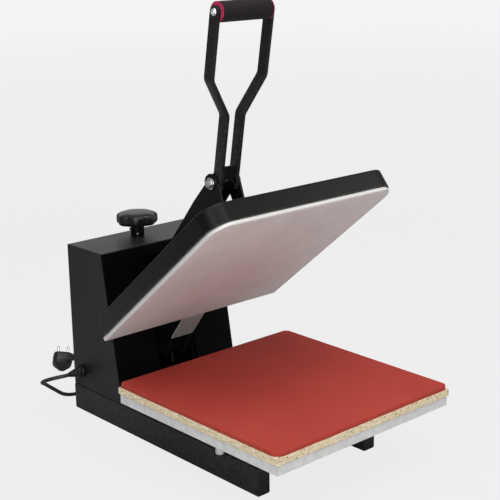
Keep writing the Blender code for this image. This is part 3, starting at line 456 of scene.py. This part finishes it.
def piece(name, bm, look, body, replaces=(), lifted=False, sharp=30, ride=True):
    """Turn a drawn mesh into a named piece that rides on a body."""
    if lifted:
        bmesh.ops.transform(bm, matrix=LIFT, verts=bm.verts)
    bmesh.ops.scale(bm, vec=(MM, MM, MM), verts=bm.verts)
    bmesh.ops.translate(bm, vec=(0, WORK_Y, 0), verts=bm.verts)
    bmesh.ops.recalc_face_normals(bm, faces=bm.faces)
    mesh = bpy.data.meshes.new(name)
    bm.to_mesh(mesh)
    bm.free()
    mesh.shade_smooth()
    mesh.set_sharp_from_angle(angle=radians(sharp))
    made = bpy.data.objects.new(name, mesh)
    mesh.materials.append(LOOKS[look])
    bpy.context.scene.collection.objects.link(made)
    if ride:
        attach(made, body)
    if replaces:
        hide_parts(*replaces)
    return made


# Mains lead: the CAD source's route, in metres, and the coil between its two stretches

CORD_R = 0.0035
CORD_ROUTE = [
    (-0.1602, 0.2735, 0.0790), (-0.1690, 0.2742, 0.0789), (-0.1785, 0.2777, 0.0782),
    (-0.1876, 0.2845, 0.0760), (-0.1942, 0.2948, 0.0717), (-0.1957, 0.3060, 0.0660),
    (-0.1911, 0.3175, 0.0591), (-0.1793, 0.3274, 0.0506), (-0.1588, 0.3344, 0.0340),
    (-0.1312, 0.3405, 0.0135), (-0.0994, 0.3450, 0.0048), (-0.0635, 0.3515, 0.0036),
    (-0.0200, 0.3615, 0.0036), (0.0200, 0.3745, 0.0036), (0.0520, 0.3871, 0.0036),
    (0.0760, 0.3963, 0.0036), (0.0980, 0.4019, 0.0036),
]
COIL_CENTRE = (0.118, 0.4455)
COIL_LOW, COIL_HIGH = 0.0036, 0.0106
COIL_IN, COIL_OUT = 0.035, 0.042
PLUG_ROUTE = [
    (0.0980, 0.4878, 0.0102), (0.0780, 0.4882, 0.0092), (0.0580, 0.4881, 0.0090),
    (0.0400, 0.4874, 0.0104), (0.0220, 0.4863, 0.0128), (0.0060, 0.4849, 0.0156),
    (-0.0060, 0.4837, 0.0178), (-0.0145, 0.4829, 0.0192),
]
PLUG_FACE = (-0.0365, 0.4890, 0.0280)
PLUG_HEADING = (0.470, 0.529, 0.707)
PLUG_ROLL = radians(15)
PLUG_SECTIONS = [
    # (distance behind the face, half width, half height)
    (-0.4, 14.0, 12.6), (0.0, 16.6, 15.2), (0.5, 17.6, 16.1), (1.6, 18.4, 16.9), (4.0, 18.7, 17.2),
    (4.8, 18.0, 16.5), (5.8, 18.0, 16.5), (6.6, 18.8, 17.3), (9.0, 18.9, 17.4), (9.8, 18.2, 16.7),
    (10.8, 18.2, 16.7), (11.6, 19.0, 17.4), (17.0, 19.0, 17.5), (19.5, 18.7, 17.2), (22.0, 17.4, 15.9),
    (25.0, 14.8, 13.3), (28.0, 11.4, 10.4), (31.0, 7.9, 7.6), (33.2, 6.0, 6.0), (34.2, 4.0, 4.0),
]
PIN_SPREAD = 9.5
COIL_STEPS = 20                 # points for each turn


def eased(value, start, end):
    """0 before start, 1 after end, with soft ends."""
    t = min(max((value - start) / (end - start), 0.0), 1.0)
    return t * t * (3 - 2 * t)


def coil_points():
    """Three and a half turns: two on the floor, outer then inner, and the rest on top of them."""
    points = []
    first, last = -90, 1170
    count = round((last - first) / 360 * COIL_STEPS)
    for k in range(count + 1):
        angle = first + (last - first) * k / count
        inward = eased(angle, 160, 270) - eased(angle, 780, 890)
        radius = COIL_OUT - (COIL_OUT - COIL_IN) * inward
        height = COIL_LOW + (COIL_HIGH - COIL_LOW) * eased(angle, 460, 590)
        t = radians(angle)
        points.append((COIL_CENTRE[0] + radius * cos(t), COIL_CENTRE[1] + radius * sin(t), height))
    return points


def smooth(points, spacing):
    """Evenly read points of a smooth curve (Catmull-Rom) through given ones."""
    ends = [Vector(points[0]) * 2 - Vector(points[1]), *map(Vector, points),
            Vector(points[-1]) * 2 - Vector(points[-2])]
    fine = []
    for a, b, c, d in zip(ends, ends[1:], ends[2:], ends[3:]):
        for k in range(16):
            t = k / 16
            fine.append(0.5 * (2 * b + (c - a) * t + (2 * a - 5 * b + 4 * c - d) * t ** 2
                               + (3 * b - a - 3 * c + d) * t ** 3))
    fine.append(Vector(points[-1]))
    kept = [fine[0]]
    for point in fine[1:-1]:
        if (point - kept[-1]).length >= spacing:
            kept.append(point)
    if (fine[-1] - kept[-1]).length < spacing / 2:
        kept.pop()
    return kept + [fine[-1]]


def build_lead():
    """Cord, strain relief, plug and the tie round the coil."""
    line = smooth(CORD_ROUTE + coil_points() + PLUG_ROUTE, 0.004)
    curve = bpy.data.curves.new("mains_lead", "CURVE")
    curve.dimensions = "3D"
    curve.bevel_depth = CORD_R
    curve.bevel_resolution = 4
    curve.use_fill_caps = True
    spline = curve.splines.new("POLY")
    spline.points.add(len(line) - 1)
    for point, place in zip(spline.points, line):
        point.co = (*place, 1)
    spline.use_smooth = True
    curve.materials.append(LOOKS["cord"])
    lead = bpy.data.objects.new("mains_lead", curve)
    bpy.context.scene.collection.objects.link(lead)
    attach(lead, "base")
    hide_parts("mains_cord", "cord_coil", "plug_cord")
    relief, plug = build_relief(), build_plug()
    build_tie()


def build_relief():
    """Nut, domed cap and ribbed sleeve where the cord leaves the housing."""
    gland = layout(CORD_ROUTE[0])
    at = (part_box("left_leg")[0].x / MM, gland.y, gland.z)
    bm = bmesh.new()
    turned(bm, [(0.3, 11.2, 12), (0.9, 11.5, 12), (4.0, 11.5, 12), (4.8, 10.6, 0)], at, (-1, 0, 0), 48)
    ribs = []
    for k in range(5):
        start = 13.0 + 3.0 * k
        wide = 7.9 - 0.75 * k
        ribs += [(start, wide - 1.0, 0), (start + 0.4, wide, 0), (start + 1.7, wide - 0.15, 0),
                 (start + 2.1, wide - 1.1, 0)]
    turned(bm, [(4.6, 9.0, 0), (5.0, 10.0, 0), (9.5, 10.0, 0), (11.3, 9.5, 0), (12.4, 8.3, 0), *ribs,
                (28.0, 4.4, 0), (28.2, 3.7, 0)], at, (-1, 0, 0), 32)
    return piece("strain_relief", bm, "black", "base", ["cord_gland"], sharp=28)


def build_plug():
    """Moulded plug that rests on its tail with its pins up, and the boss where the cord enters it."""
    face = layout(PLUG_FACE)
    heading = Vector(PLUG_HEADING).normalized()
    level_side = heading.cross(Vector((0, 0, 1))).normalized()
    side = Matrix.Rotation(PLUG_ROLL, 3, heading) @ level_side
    up = side.cross(heading)
    bm = bmesh.new()
    rings = []
    for behind, wide, tall in PLUG_SECTIONS:
        outline = round_box((wide, tall), min(wide, tall) * 0.55, 5)
        rings.append([face - heading * behind + side * a + up * b for a, b in outline])
    loft(bm, rings)
    body = piece("moulded_plug", bm, "black", "base", ["mains_plug"], sharp=40)
    bm = bmesh.new()
    for sign in (-1, 1):
        turned(bm, [(0, 2.4, 0), (17, 2.4, 0), (18.4, 1.9, 0), (19, 1.0, 0)],
               face + side * sign * PIN_SPREAD, heading, 16)
    piece("plug_pins", bm, "brass", "base").parent = body
    end = layout(PLUG_ROUTE[-1])
    away = (layout(PLUG_ROUTE[-2]) - end).normalized()
    ribs = []
    for k in range(6):
        start, wide = 3.0 + 3.4 * k, 6.6 - 0.4 * k
        ribs += [(start, wide - 1.0, 0), (start + 0.5, wide, 0), (start + 1.9, wide, 0),
                 (start + 2.4, wide - 1.0, 0)]
    bm = bmesh.new()
    turned(bm, [(-12, 7.5, 0), (0, 7.2, 0), *ribs, (24.0, 4.2, 0), (24.4, 3.6, 0)], end, away, 24)
    piece("plug_boss", bm, "black", "base").parent = body
    return body


def build_tie():
    """A strap round the coil's bundle."""
    centre = layout((*COIL_CENTRE, 0))
    middle = (COIL_IN + COIL_OUT) / 2 / MM
    bm = bmesh.new()
    rings = []
    for along in (-3.0, -2.6, 2.6, 3.0):
        for thick in ((0.0, 0.9) if along < 0 else (0.9, 0.0)):
            trim = 0.3 if abs(along) > 2.8 and thick else 0.0
            outline = round_box((7.05 + thick - trim, 6.95 + (thick - trim) * 0.4), 3.6, 5)
            rings.append([(centre.x + middle + u, centre.y + along, 7.35 + v) for u, v in outline])
    loft(bm, rings, closed=True)
    piece("coil_tie", bm, "black", "base")


# Bed

TRAY_HALF, TRAY_LOW, TRAY_TOP = 190.0, 92.0, 108.0
SHEET = 1.5
FOLD = 2.6                      # outside radius of folded sheet
PAD_HALF, PAD_LOW, PAD_TOP = 191.0, 120.3, 128.0
PAD_CORNERS = (10.0, 9.0, 18.0, 11.0)   # rear right, rear left, front left, front right
PAD_EDGE = 1.3
BOARD_LOW, BOARD_TOP = 108.3, 120.0


def build_tray():
    """Folded tray: a top sheet and four flanges, open at the corners where the sides meet."""
    bm = bmesh.new()
    flat = TRAY_HALF - FOLD
    sheet = [level(round_box((flat, flat), 0.4, 1), z) for z in (TRAY_TOP - SHEET, TRAY_TOP)]
    loft(bm, sheet)
    outer = arc((flat, TRAY_TOP - FOLD), FOLD, 90, 0, 5)
    inner = arc((flat, TRAY_TOP - FOLD), FOLD - SHEET, 0, 90, 5)
    profile = outer + [(TRAY_HALF, TRAY_LOW + 0.4), (TRAY_HALF - 0.4, TRAY_LOW),
                       (TRAY_HALF - SHEET + 0.4, TRAY_LOW), (TRAY_HALF - SHEET, TRAY_LOW + 0.4)] + inner
    for quarter in range(4):
        reach = TRAY_HALF - 0.3 if quarter % 2 else TRAY_HALF - SHEET - 0.9
        turn = Matrix.Rotation(pi / 2 * quarter, 3, "Z")
        rings = [[turn @ Vector((out, along, z)) for out, z in profile] for along in (-reach, reach)]
        loft(bm, rings)
    piece("folded_tray", bm, "galvanised", "base", ["bed_tray"], sharp=25)


def build_board():
    """Sawn chipboard with small chips along its edges."""
    half = layout(BOARD_BOX[1]).x
    bm = bmesh.new()
    heights = [(BOARD_LOW, 0.5), (BOARD_LOW + 0.5, 0), (BOARD_LOW + 3, 0), (BOARD_LOW + 6, 0),
               (BOARD_LOW + 9, 0), (BOARD_TOP - 0.5, 0), (BOARD_TOP, 0.5)]
    steps = 96
    rings = []
    for z, inset in heights:
        ring = []
        for k in range(4 * steps):
            corner, share = divmod(k, steps)
            along = -half + 2 * half * share / steps
            point = Matrix.Rotation(pi / 2 * corner, 3, "Z") @ Vector((half, along, z))
            chip = max(noise.noise(point * 0.11) - 0.25, 0) * 3.2 * (1 if inset else 0.35)
            rough = abs(noise.noise(point * 0.6)) * 0.35 + inset + chip
            shrink = (half - rough) / half
            ring.append(Vector((point.x * shrink, point.y * shrink, z)))
        rings.append(ring)
    loft(bm, rings)
    piece("chipboard_base", bm, "chipboard", "base", ["base_board"], sharp=40)


def pad_outline(inset):
    """The pad's outline, whose hand-cut corners differ a little."""
    points = []
    for k, (a, b) in enumerate(((1, 1), (-1, 1), (-1, -1), (1, -1))):
        radius = max(PAD_CORNERS[k] - inset, 0.8)
        reach = PAD_HALF - inset - radius
        points += arc((a * reach, b * reach), radius, 90 * k, 90 * k + 90, 8)
    return points


def build_pad():
    """Silicone foam pad: soft upper edge, sides that bulge a little and a slightly uneven top."""
    bm = bmesh.new()
    tall = PAD_TOP - PAD_LOW
    rings = []
    for z, inset in ((0, 0.9), (0.5, 0.35), (1.6, 0.1), (tall / 2, 0.0), (tall - PAD_EDGE, 0.05)):
        rings.append(level(pad_outline(inset), PAD_LOW + z))
    for angle in (18, 40, 62, 80):
        inset = 0.05 + PAD_EDGE * (1 - cos(radians(angle)))
        z = PAD_TOP - PAD_EDGE * (1 - sin(radians(angle)))
        rings.append(level(pad_outline(inset), z))
    for inset in (2.0, 6, 12, 22, 36, 54, 76, 100, 126, 152, 176, 188):
        ring = []
        for a, b in pad_outline(inset):
            dip = 0.12 * noise.noise(Vector((a, b, 0)) * 0.018) * eased(inset, 2, 40)
            ring.append((a, b, PAD_TOP - 0.12 + dip if inset > 3 else PAD_TOP - 0.03))
        rings.append(ring)
    loft(bm, rings)
    pad = piece("pressing_pad", bm, "silicone", "base", ["silicone_pad"], sharp=60)


# Upper platen, drawn closed and lifted

COVER_HALF, COVER_REAR, COVER_FRONT = 195.0, 182.0, -195.0
COVER_LOW, COVER_TOP = 136.1, 167.8
COVER_CORNER, COVER_REAR_CORNER = 36.0, 3.0
COVER_FOLD = 2.4
PLATE_HALF, PLATE_REAR, PLATE_FRONT = 192.5, 193.5, -193.0
PLATE_LOW, PLATE_TOP = 128.8, 135.8
PLATE_CHAMFER, PLATE_EDGE = 34.0, 2.2
STRAP_TOP = 173.1


def cover_outline(inset):
    """The cover's outline: tight rear corners and wide front ones."""
    half, rear, front = COVER_HALF - inset, COVER_REAR - inset, COVER_FRONT + inset
    wide, tight = COVER_CORNER - inset, max(COVER_REAR_CORNER - inset, 0.3)
    points = arc((half - tight, rear - tight), tight, 0, 90, 4)
    points += arc((-half + tight, rear - tight), tight, 90, 180, 4)
    points += arc((-half + wide, front + wide), wide, 180, 270, 18)
    return points + arc((half - wide, front + wide), wide, 270, 360, 18)


def build_cover():
    """Deep cover of the platen with folded edges and an open underside."""
    bm = bmesh.new()
    rings = [(COVER_TOP - SHEET, SHEET + 1.0), (COVER_TOP - SHEET - 1.0, SHEET), (COVER_LOW + 0.3, SHEET),
             (COVER_LOW, SHEET - 0.35), (COVER_LOW, 0.35), (COVER_LOW + 0.35, 0), (COVER_LOW + 2.5, 0),
             (COVER_TOP - COVER_FOLD - 2, 0)]
    for angle in (0, 18, 36, 54, 72, 90):
        t = radians(angle)
        rings.append((COVER_TOP - COVER_FOLD * (1 - sin(t)), COVER_FOLD * (1 - cos(t))))
    rings.append((COVER_TOP, COVER_FOLD + 2))
    loft(bm, [level(cover_outline(inset), z) for z, inset in rings])
    piece("cover_shell", bm, "cover", "platen", ["platen_cover"], lifted=True, sharp=28)


def plate_outline(inset, rounded):
    """The heating plate's outline: front corners follow the cover's above, and are cut straight below."""
    half, rear, front = PLATE_HALF - inset, PLATE_REAR - inset, PLATE_FRONT + inset
    points = arc((half - 2, rear - 2), 2, 0, 90, 4) + arc((-half + 2, rear - 2), 2, 90, 180, 4)
    wide = PLATE_CHAMFER - inset * 0.6
    for sign, start in ((-1, 180), (1, 270)):
        corner = arc((sign * (half - wide), front + wide), wide, start, start + 90, 12)
        if not rounded:
            first, last = Vector(corner[0]), Vector(corner[-1])
            corner = [tuple(first.lerp(last, k / 12)) for k in range(13)]
        points += corner
    return points


def build_plate():
    """Cast plate with a rounded lower edge."""
    bm = bmesh.new()
    rings = [(PLATE_TOP, 0.6, True), (PLATE_TOP - 0.6, 0, True), (PLATE_LOW + PLATE_EDGE, 0, True)]
    for angle in (30, 60, 90):
        t = radians(angle)
        rings.append((PLATE_LOW + PLATE_EDGE * (1 - sin(t)), PLATE_EDGE * (1 - cos(t)), angle < 40))
    rings.append((PLATE_LOW, 12.0, False))
    loft(bm, [level(plate_outline(inset, rounded), z) for z, inset, rounded in rings])
    piece("heat_plate", bm, "aluminium", "platen", ["heating_plate"], lifted=True, sharp=50)


def build_insulation():
    """Mineral wool over the plate, cut back behind its edge."""
    bm = bmesh.new()
    rings = []
    for z, inset in ((COVER_LOW + 0.4, 9.0), (COVER_LOW + 3, 7.0), (150, 6.6), (157, 7.4), (160, 10)):
        ring = []
        for a, b in plate_outline(inset, False):
            tuft = 0.5 * noise.noise(Vector((a, b, z)) * 0.12)
            ring.append((a * (1 - tuft / PLATE_HALF), min(b, COVER_REAR - 5) + tuft, z))
        rings.append(ring)
    loft(bm, rings)
    piece("wool_blanket", bm, "wool", "platen", ["insulation_blanket"], lifted=True, sharp=60)


STRAP_BOLT_X, STRAP_BOLT_Y = 13, -58


def build_platen_bolts():
    """Bolts through the strap into the plate."""
    bm = bmesh.new()
    for x in (-STRAP_BOLT_X, STRAP_BOLT_X):
        hex_head(bm, (x, STRAP_BOLT_Y, STRAP_TOP), (0, 0, 1), 6.5, 4.2, 7.6)
    piece("strap_bolts", bm, "zinc", "platen", lifted=True)


SPRING_TAIL, SPRING_ANCHOR = (0, 332.0, 130.0), (0, 332.0, 60.0)
SPRING_X = 31.0
SPRING_STEPS = 12               # points for each turn and each hook


def build_springs():
    """Extension springs with a hook round each pin."""
    tail = LIFT @ Vector(SPRING_TAIL)
    anchor = Vector(SPRING_ANCHOR)
    axis = (tail - anchor).normalized()
    front = axis.cross(Vector((1, 0, 0)))
    coil_r, wire_r, turns, pin_r = 4.2, 1.1, 10, 4.0
    low, high = anchor + axis * (pin_r + 3.6), tail - axis * (pin_r + 3.6)
    for side, x in (("left", -SPRING_X), ("right", SPRING_X)):
        across = Vector((1, 0, 0))
        shift = Vector((x, 0, 0))
        points = []
        for pin, sign in ((anchor, -1), (tail, 1)):
            hook = []
            for k in range(SPRING_STEPS + 1):
                t = radians(-20 + 250 * k / SPRING_STEPS)
                hook.append(pin + shift + (front * cos(t) + axis * sign * sin(t)) * (pin_r + wire_r + 0.1))
            points.append(hook)
        steps = turns * SPRING_STEPS
        body = []
        for k in range(steps + 1):
            t = 2 * pi * k / SPRING_STEPS
            body.append(low.lerp(high, k / steps) + shift + (front * cos(t) + across * sin(t)) * coil_r)
        bm = bmesh.new()
        tube(bm, list(reversed(points[0][2:])) + body + points[1][2:], wire_r, 8)
        made = piece(f"{side}_spring_coil", bm, "spring", "base", [f"{side}_lift_spring"],
                     sharp=60, ride=False)
        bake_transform(made)


# Lever

GRIP = (82.0, 727.0)
HANDLE_LEAN = radians(10)
BAR_IN, BAR_OUT, BAR_WIDE = 14.0, 20.0, 20.0
BAR_TOP_IN, BAR_TOP_OUT = 53.5, 59.5
BAR_LOW, BEND_LOW, BEND_HIGH, BAR_END = -296.0, -168.0, -107.0, 10.0
BEND_R = 9.0
GRIP_R, GRIP_HALF = 16.5, 53.2
RING_DEEP = 1.0


def handle_point(x, along, ahead):
    """A point of the handle, from its place along the bars below the grip."""
    up = Vector((0, -sin(HANDLE_LEAN), cos(HANDLE_LEAN)))
    front = Vector((0, -cos(HANDLE_LEAN), -sin(HANDLE_LEAN)))
    return Vector((0, *GRIP)) + Vector((x, 0, 0)) + up * along + front * ahead


def bent_path(points, radius, steps=6):
    """A path with its inner corners rounded, as (point, heading) pairs."""
    path = [(Vector(points[0]), (Vector(points[1]) - Vector(points[0])).normalized())]
    for a, b, c in zip(points, points[1:], points[2:]):
        a, b, c = Vector(a), Vector(b), Vector(c)
        before, after = (b - a).normalized(), (c - b).normalized()
        reach = radius * 0.5
        start, stop = b - before * reach, b + after * reach
        for k in range(steps + 1):
            s = k / steps
            point = start.lerp(b, s).lerp(b.lerp(stop, s), s)
            path.append((point, before.lerp(after, s).normalized()))
    path.append((Vector(points[-1]), (Vector(points[-1]) - Vector(points[-2])).normalized()))
    return path


def build_bars():
    """Flat bars with two bends and a round upper end."""
    thick = BAR_OUT - BAR_IN
    for side, sign in (("left", -1), ("right", 1)):
        middle = [((BAR_IN + BAR_OUT) / 2, BAR_LOW), ((BAR_IN + BAR_OUT) / 2, BEND_LOW),
                  ((BAR_TOP_IN + BAR_TOP_OUT) / 2, BEND_HIGH), ((BAR_TOP_IN + BAR_TOP_OUT) / 2, BAR_END - 10)]
        path = bent_path(middle, BEND_R)
        stations = [(point, heading, BAR_WIDE / 2) for point, heading in path]
        last, heading, _ = stations.pop()
        for k in range(9):
            t = radians(88 * k / 8)
            stations.append((last + heading * 10 * sin(t), heading, BAR_WIDE / 2 * cos(t)))
        bm = bmesh.new()
        rings = []
        for point, heading, half in stations:
            across = Vector((heading.y, -heading.x))
            outline = round_box((thick / 2, max(half, 0.7)), 0.65, 2)
            ring = []
            for a, b in outline:
                flat = point + across * a
                ring.append(handle_point(sign * flat.x, flat.y, b))
            rings.append(ring)
        loft(bm, rings)
        piece(f"{side}_bar", bm, "bar", "lever", [f"{side}_handle_bar"], sharp=35)


def build_grip():
    """Foam sleeve with a red ring at each end, and its bolts."""
    axis = (1, 0, 0)
    start = (0, *GRIP)
    bm = bmesh.new()
    half = GRIP_HALF - RING_DEEP
    rings = [(-half, GRIP_R - 0.8, 0), (-half + 0.6, GRIP_R - 0.15, 0)]
    count = 40
    for k in range(1, count):
        x = -half + 2 * half * k / count
        rings.append((x, GRIP_R - 0.1 + 0.1 * noise.noise(Vector((x * 0.09, 3, 0))), 0))
    rings += [(half - 0.6, GRIP_R - 0.15, 0), (half, GRIP_R - 0.8, 0)]
    turned(bm, rings, start, axis, 48)
    sleeve = piece("foam_sleeve", bm, "foam", "lever", ["foam_grip"], sharp=40)
    bm = bmesh.new()
    for sign in (-1, 1):
        inner, outer = sorted((sign * (GRIP_HALF - RING_DEEP + 0.02), sign * GRIP_HALF))
        turned(bm, [(inner, GRIP_R - 0.5, 0), (inner + 0.5, GRIP_R, 0), (outer - 0.5, GRIP_R, 0),
                    (outer, GRIP_R - 0.5, 0)], start, axis, 48)
    piece("grip_end_rings", bm, "red", "lever")
    bm = bmesh.new()
    for sign in (-1, 1):
        socket_head(bm, (sign * BAR_TOP_OUT, *GRIP), (sign, 0, 0), 6.5, 3.4)
    turned(bm, [(-BAR_TOP_IN, 4.0, 0), (BAR_TOP_IN, 4.0, 0)], start, axis, 16)
    piece("grip_bolts", bm, "zinc", "lever", ["grip_rod"])


KNEE_SIDE = 25.8                # outer faces of the links that the knee bolt holds


def build_knee():
    """The hexagon bolt that joins the lever to the toggle, with its washers and nut."""
    low, high = (layout(corner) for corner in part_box("knee_bolt"))
    side = KNEE_SIDE
    at_left, at_right = (-side, KNEE.y, KNEE.z), (side, KNEE.y, KNEE.z)
    bm = bmesh.new()
    hex_head(bm, at_left, (-1, 0, 0), 7.5, -low.x - side - 1.6, 10.0)
    hex_head(bm, at_right, (1, 0, 0), 7.5, 5.6, 10.0)
    turned(bm, [(-side, 5, 0), (side, 5, 0)], (0, KNEE.y, KNEE.z), (1, 0, 0), 20)
    thread = []
    for k in range(7):
        x = side + 7.0 + 0.5 * k
        if x < high.x - 0.5:
            thread.append((x, 5.0 if k % 2 else 4.6, 0))
    turned(bm, [(side, 4.6, 0), *thread, (high.x - 0.4, 4.6, 0), (high.x, 4.2, 0)],
           (0, KNEE.y, KNEE.z), (1, 0, 0), 20)
    piece("knee_hex_bolt", bm, "zinc", "lever", ["knee_bolt"])


# Pressure knob

KNOB_Y, KNOB_FOOT = 383.0, 312.3
KNOB_LOBES = 7
KNOB_SECTION = [
    # (height, radius, depth of the scallops)
    (0.0, 11.8, 0.0), (0.7, 12.5, 0.0), (15.0, 12.5, 0.0), (17.5, 13.2, 0.0), (18.8, 16.5, 0.0),
    (19.4, 24.0, 0.4), (19.9, 31.0, 1.6), (20.8, 34.8, 2.8), (22.4, 37.0, 3.8), (24.6, 37.9, 4.2),
    (29.0, 38.0, 4.3), (33.4, 37.9, 4.2), (36.0, 37.2, 3.8), (38.0, 35.4, 2.9), (39.8, 31.8, 1.7),
    (41.2, 26.0, 0.7), (42.0, 18.0, 0.2), (42.3, 9.0, 0.0), (42.4, 2.0, 0.0),
]


def build_knob():
    """Seven-lobed knob with a domed top, its set screw and its screw's foot."""
    bm = bmesh.new()
    count = KNOB_LOBES * 16
    rings = []
    for height, radius, depth in KNOB_SECTION:
        ring = []
        for k in range(count):
            t = 2 * pi * k / count
            notch = (0.5 + 0.5 * cos(KNOB_LOBES * t)) ** 1.4
            r = radius - depth * notch
            ring.append((r * cos(t), KNOB_Y + r * sin(t), KNOB_FOOT + height))
        rings.append(ring)
    loft(bm, rings)
    piece("star_knob", bm, "knob", "knob", ["pressure_knob"], sharp=50)
    bm = bmesh.new()
    left = Vector((-0.74, 0.67, 0))
    socket_head(bm, Vector((0, KNOB_Y, KNOB_FOOT + 9.5)) + left * 12.2, left, 2.6, 2.6)
    piece("knob_set_screw", bm, "black", "knob")
    bm = bmesh.new()
    near = Vector((-0.6, -0.8, 0))
    socket_head(bm, Vector((0, KNOB_Y, KNOB_FOOT + 3.2)) + near * 12.2, near, 2.2, 1.4)
    piece("knob_pin_screw", bm, "zinc", "knob")


# Housing

SCREW_X, SCREW_HEIGHTS = 120, (62, 180, 298)


def build_housing_screws():
    """Socket screws that hold the rear cover."""
    rear = layout(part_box("rear_cover")[1]).y
    bm = bmesh.new()
    for x in (-SCREW_X, SCREW_X):
        for z in SCREW_HEIGHTS:
            socket_head(bm, (x, rear, z), (0, 1, 0), 3.4, 2.0)
    piece("rear_cover_screws", bm, "zinc", "base")


def build_welds():
    """Weld beads where the crossbars stand on the legs."""
    for name in ("front_crossbar", "rear_crossbar"):
        low, high = (layout(corner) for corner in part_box(name))
        bm = bmesh.new()
        for leg in ("left_leg", "right_leg"):
            leg_low, leg_high = (layout(corner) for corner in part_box(leg))
            for y in (low.y - 0.6, high.y + 0.6):
                rings = []
                count = 22
                for k in range(count + 1):
                    x = leg_low.x + 2 + (leg_high.x - leg_low.x - 4) * k / count
                    size = (2.2 + 0.35 * sin(k * 2.1)) * (0.55 if k in (0, count) else 1)
                    rings.append([(x, y + size * cos(t), leg_high.z + 0.2 + size * sin(t))
                                  for t in (2 * pi * n / 10 for n in range(10))])
                loft(bm, rings)
        piece(f"{name}_welds", bm, "powder", "base", sharp=60)


# Stage

CAMERA_AT = (-1.2499, -1.4434, 0.8537)
CAMERA_RIGHT = (0.7437, -0.6683, -0.0157)
CAMERA_BACK = (-0.6417, -0.7204, 0.2633)
CAMERA_LENS, CAMERA_SENSOR = 85.6, 36.0
FLOOR_HALF, FLOOR_Z = 30, -0.0004
WORLD_STRENGTH = 0.28


def area_light(name, at, aim, size, power, colour=(1, 1, 1)):
    """A soft square light that points at a place."""
    light = bpy.data.lights.new(name, "AREA")
    light.shape = "RECTANGLE"
    light.size, light.size_y = size
    light.energy = power
    light.color = colour
    lamp = bpy.data.objects.new(name, light)
    lamp.location = at
    lamp.rotation_euler = (Vector(aim) - Vector(at)).to_track_quat("-Z", "Y").to_euler()
    bpy.context.scene.collection.objects.link(lamp)


def floor_look():
    """A pale sweep: even to the camera, and a plain pale floor to every other ray."""
    look = Look("pale_floor", Specular_IOR_Level=0.0, Roughness=1.0)
    seen = look.node("ShaderNodeLightPath").outputs["Is Camera Ray"]
    away = look.node("ShaderNodeVectorMath", [(0, look.place)], operation="LENGTH").outputs["Value"]
    glow = look.spread(away, 1.5, 9.0, 0.815, 0.895)
    look.colour(look.mix(seen, (0.52, 0.52, 0.53), (0.05, 0.05, 0.05)))
    look.shader.inputs["Emission Color"].default_value = (1.0, 0.992, 0.997, 1)
    look.tree.links.new(look.times(seen, glow), look.shader.inputs["Emission Strength"])
    return look.material


def build_stage():
    """Pale floor, pale surroundings and soft lights."""
    bm = bmesh.new()
    bmesh.ops.create_grid(bm, x_segments=1, y_segments=1, size=FLOOR_HALF)
    mesh = bpy.data.meshes.new("floor")
    bm.to_mesh(mesh)
    bm.free()
    floor = bpy.data.objects.new("floor", mesh)
    floor.location.z = FLOOR_Z
    bpy.context.scene.collection.objects.link(floor)
    mesh.materials.append(floor_look())

    world = bpy.data.worlds.new("studio")
    world.use_nodes = True
    back = world.node_tree.nodes["Background"]
    back.inputs["Color"].default_value = (0.96, 0.97, 1.0, 1)
    back.inputs["Strength"].default_value = WORLD_STRENGTH
    bpy.context.scene.world = world

    area_light("overhead", (-0.2, -0.5, 2.6), (0, -0.1, 0.2), (2.4, 2.0), 44)
    area_light("front_softbox", (-1.9, -2.3, 0.85), (0, 0, 0.25), (2.2, 1.4), 38, (1.0, 0.985, 0.97))
    area_light("left_softbox", (-2.4, -1.1, 2.0), (0, 0, 0.3), (1.2, 1.2), 12)
    area_light("right_softbox", (2.1, -1.6, 1.7), (0, 0, 0.25), (1.4, 1.4), 14, (1.0, 0.97, 0.93))
    area_light("back_panel", (1.6, 2.6, 1.1), (0, 0, 0.35), (3.0, 1.8), 10)


def build_camera():
    """The camera, from its place, its right-hand direction and the direction behind it."""
    camera = bpy.data.cameras.new("camera")
    camera.lens = CAMERA_LENS
    camera.sensor_width = CAMERA_SENSOR
    eye = bpy.data.objects.new("camera", camera)
    back = Vector(CAMERA_BACK).normalized()
    right = (Vector(CAMERA_RIGHT) - back * Vector(CAMERA_RIGHT).dot(back)).normalized()
    up = back.cross(right)
    turn = Matrix((right, up, back)).transposed().to_4x4()
    eye.matrix_world = Matrix.Translation(CAMERA_AT) @ turn
    bpy.context.scene.collection.objects.link(eye)
    bpy.context.scene.camera = eye


def main():
    """Build everything round the frame."""
    dress_frame()
    build_camera()
    build_lead()
    build_tray()
    build_board()
    build_pad()
    build_cover()
    build_plate()
    build_insulation()
    build_platen_bolts()
    build_springs()
    build_bars()
    build_grip()
    build_knee()
    build_knob()
    build_housing_screws()
    build_welds()
    build_stage()
    bpy.context.scene.view_settings.view_transform = "Standard"


main()
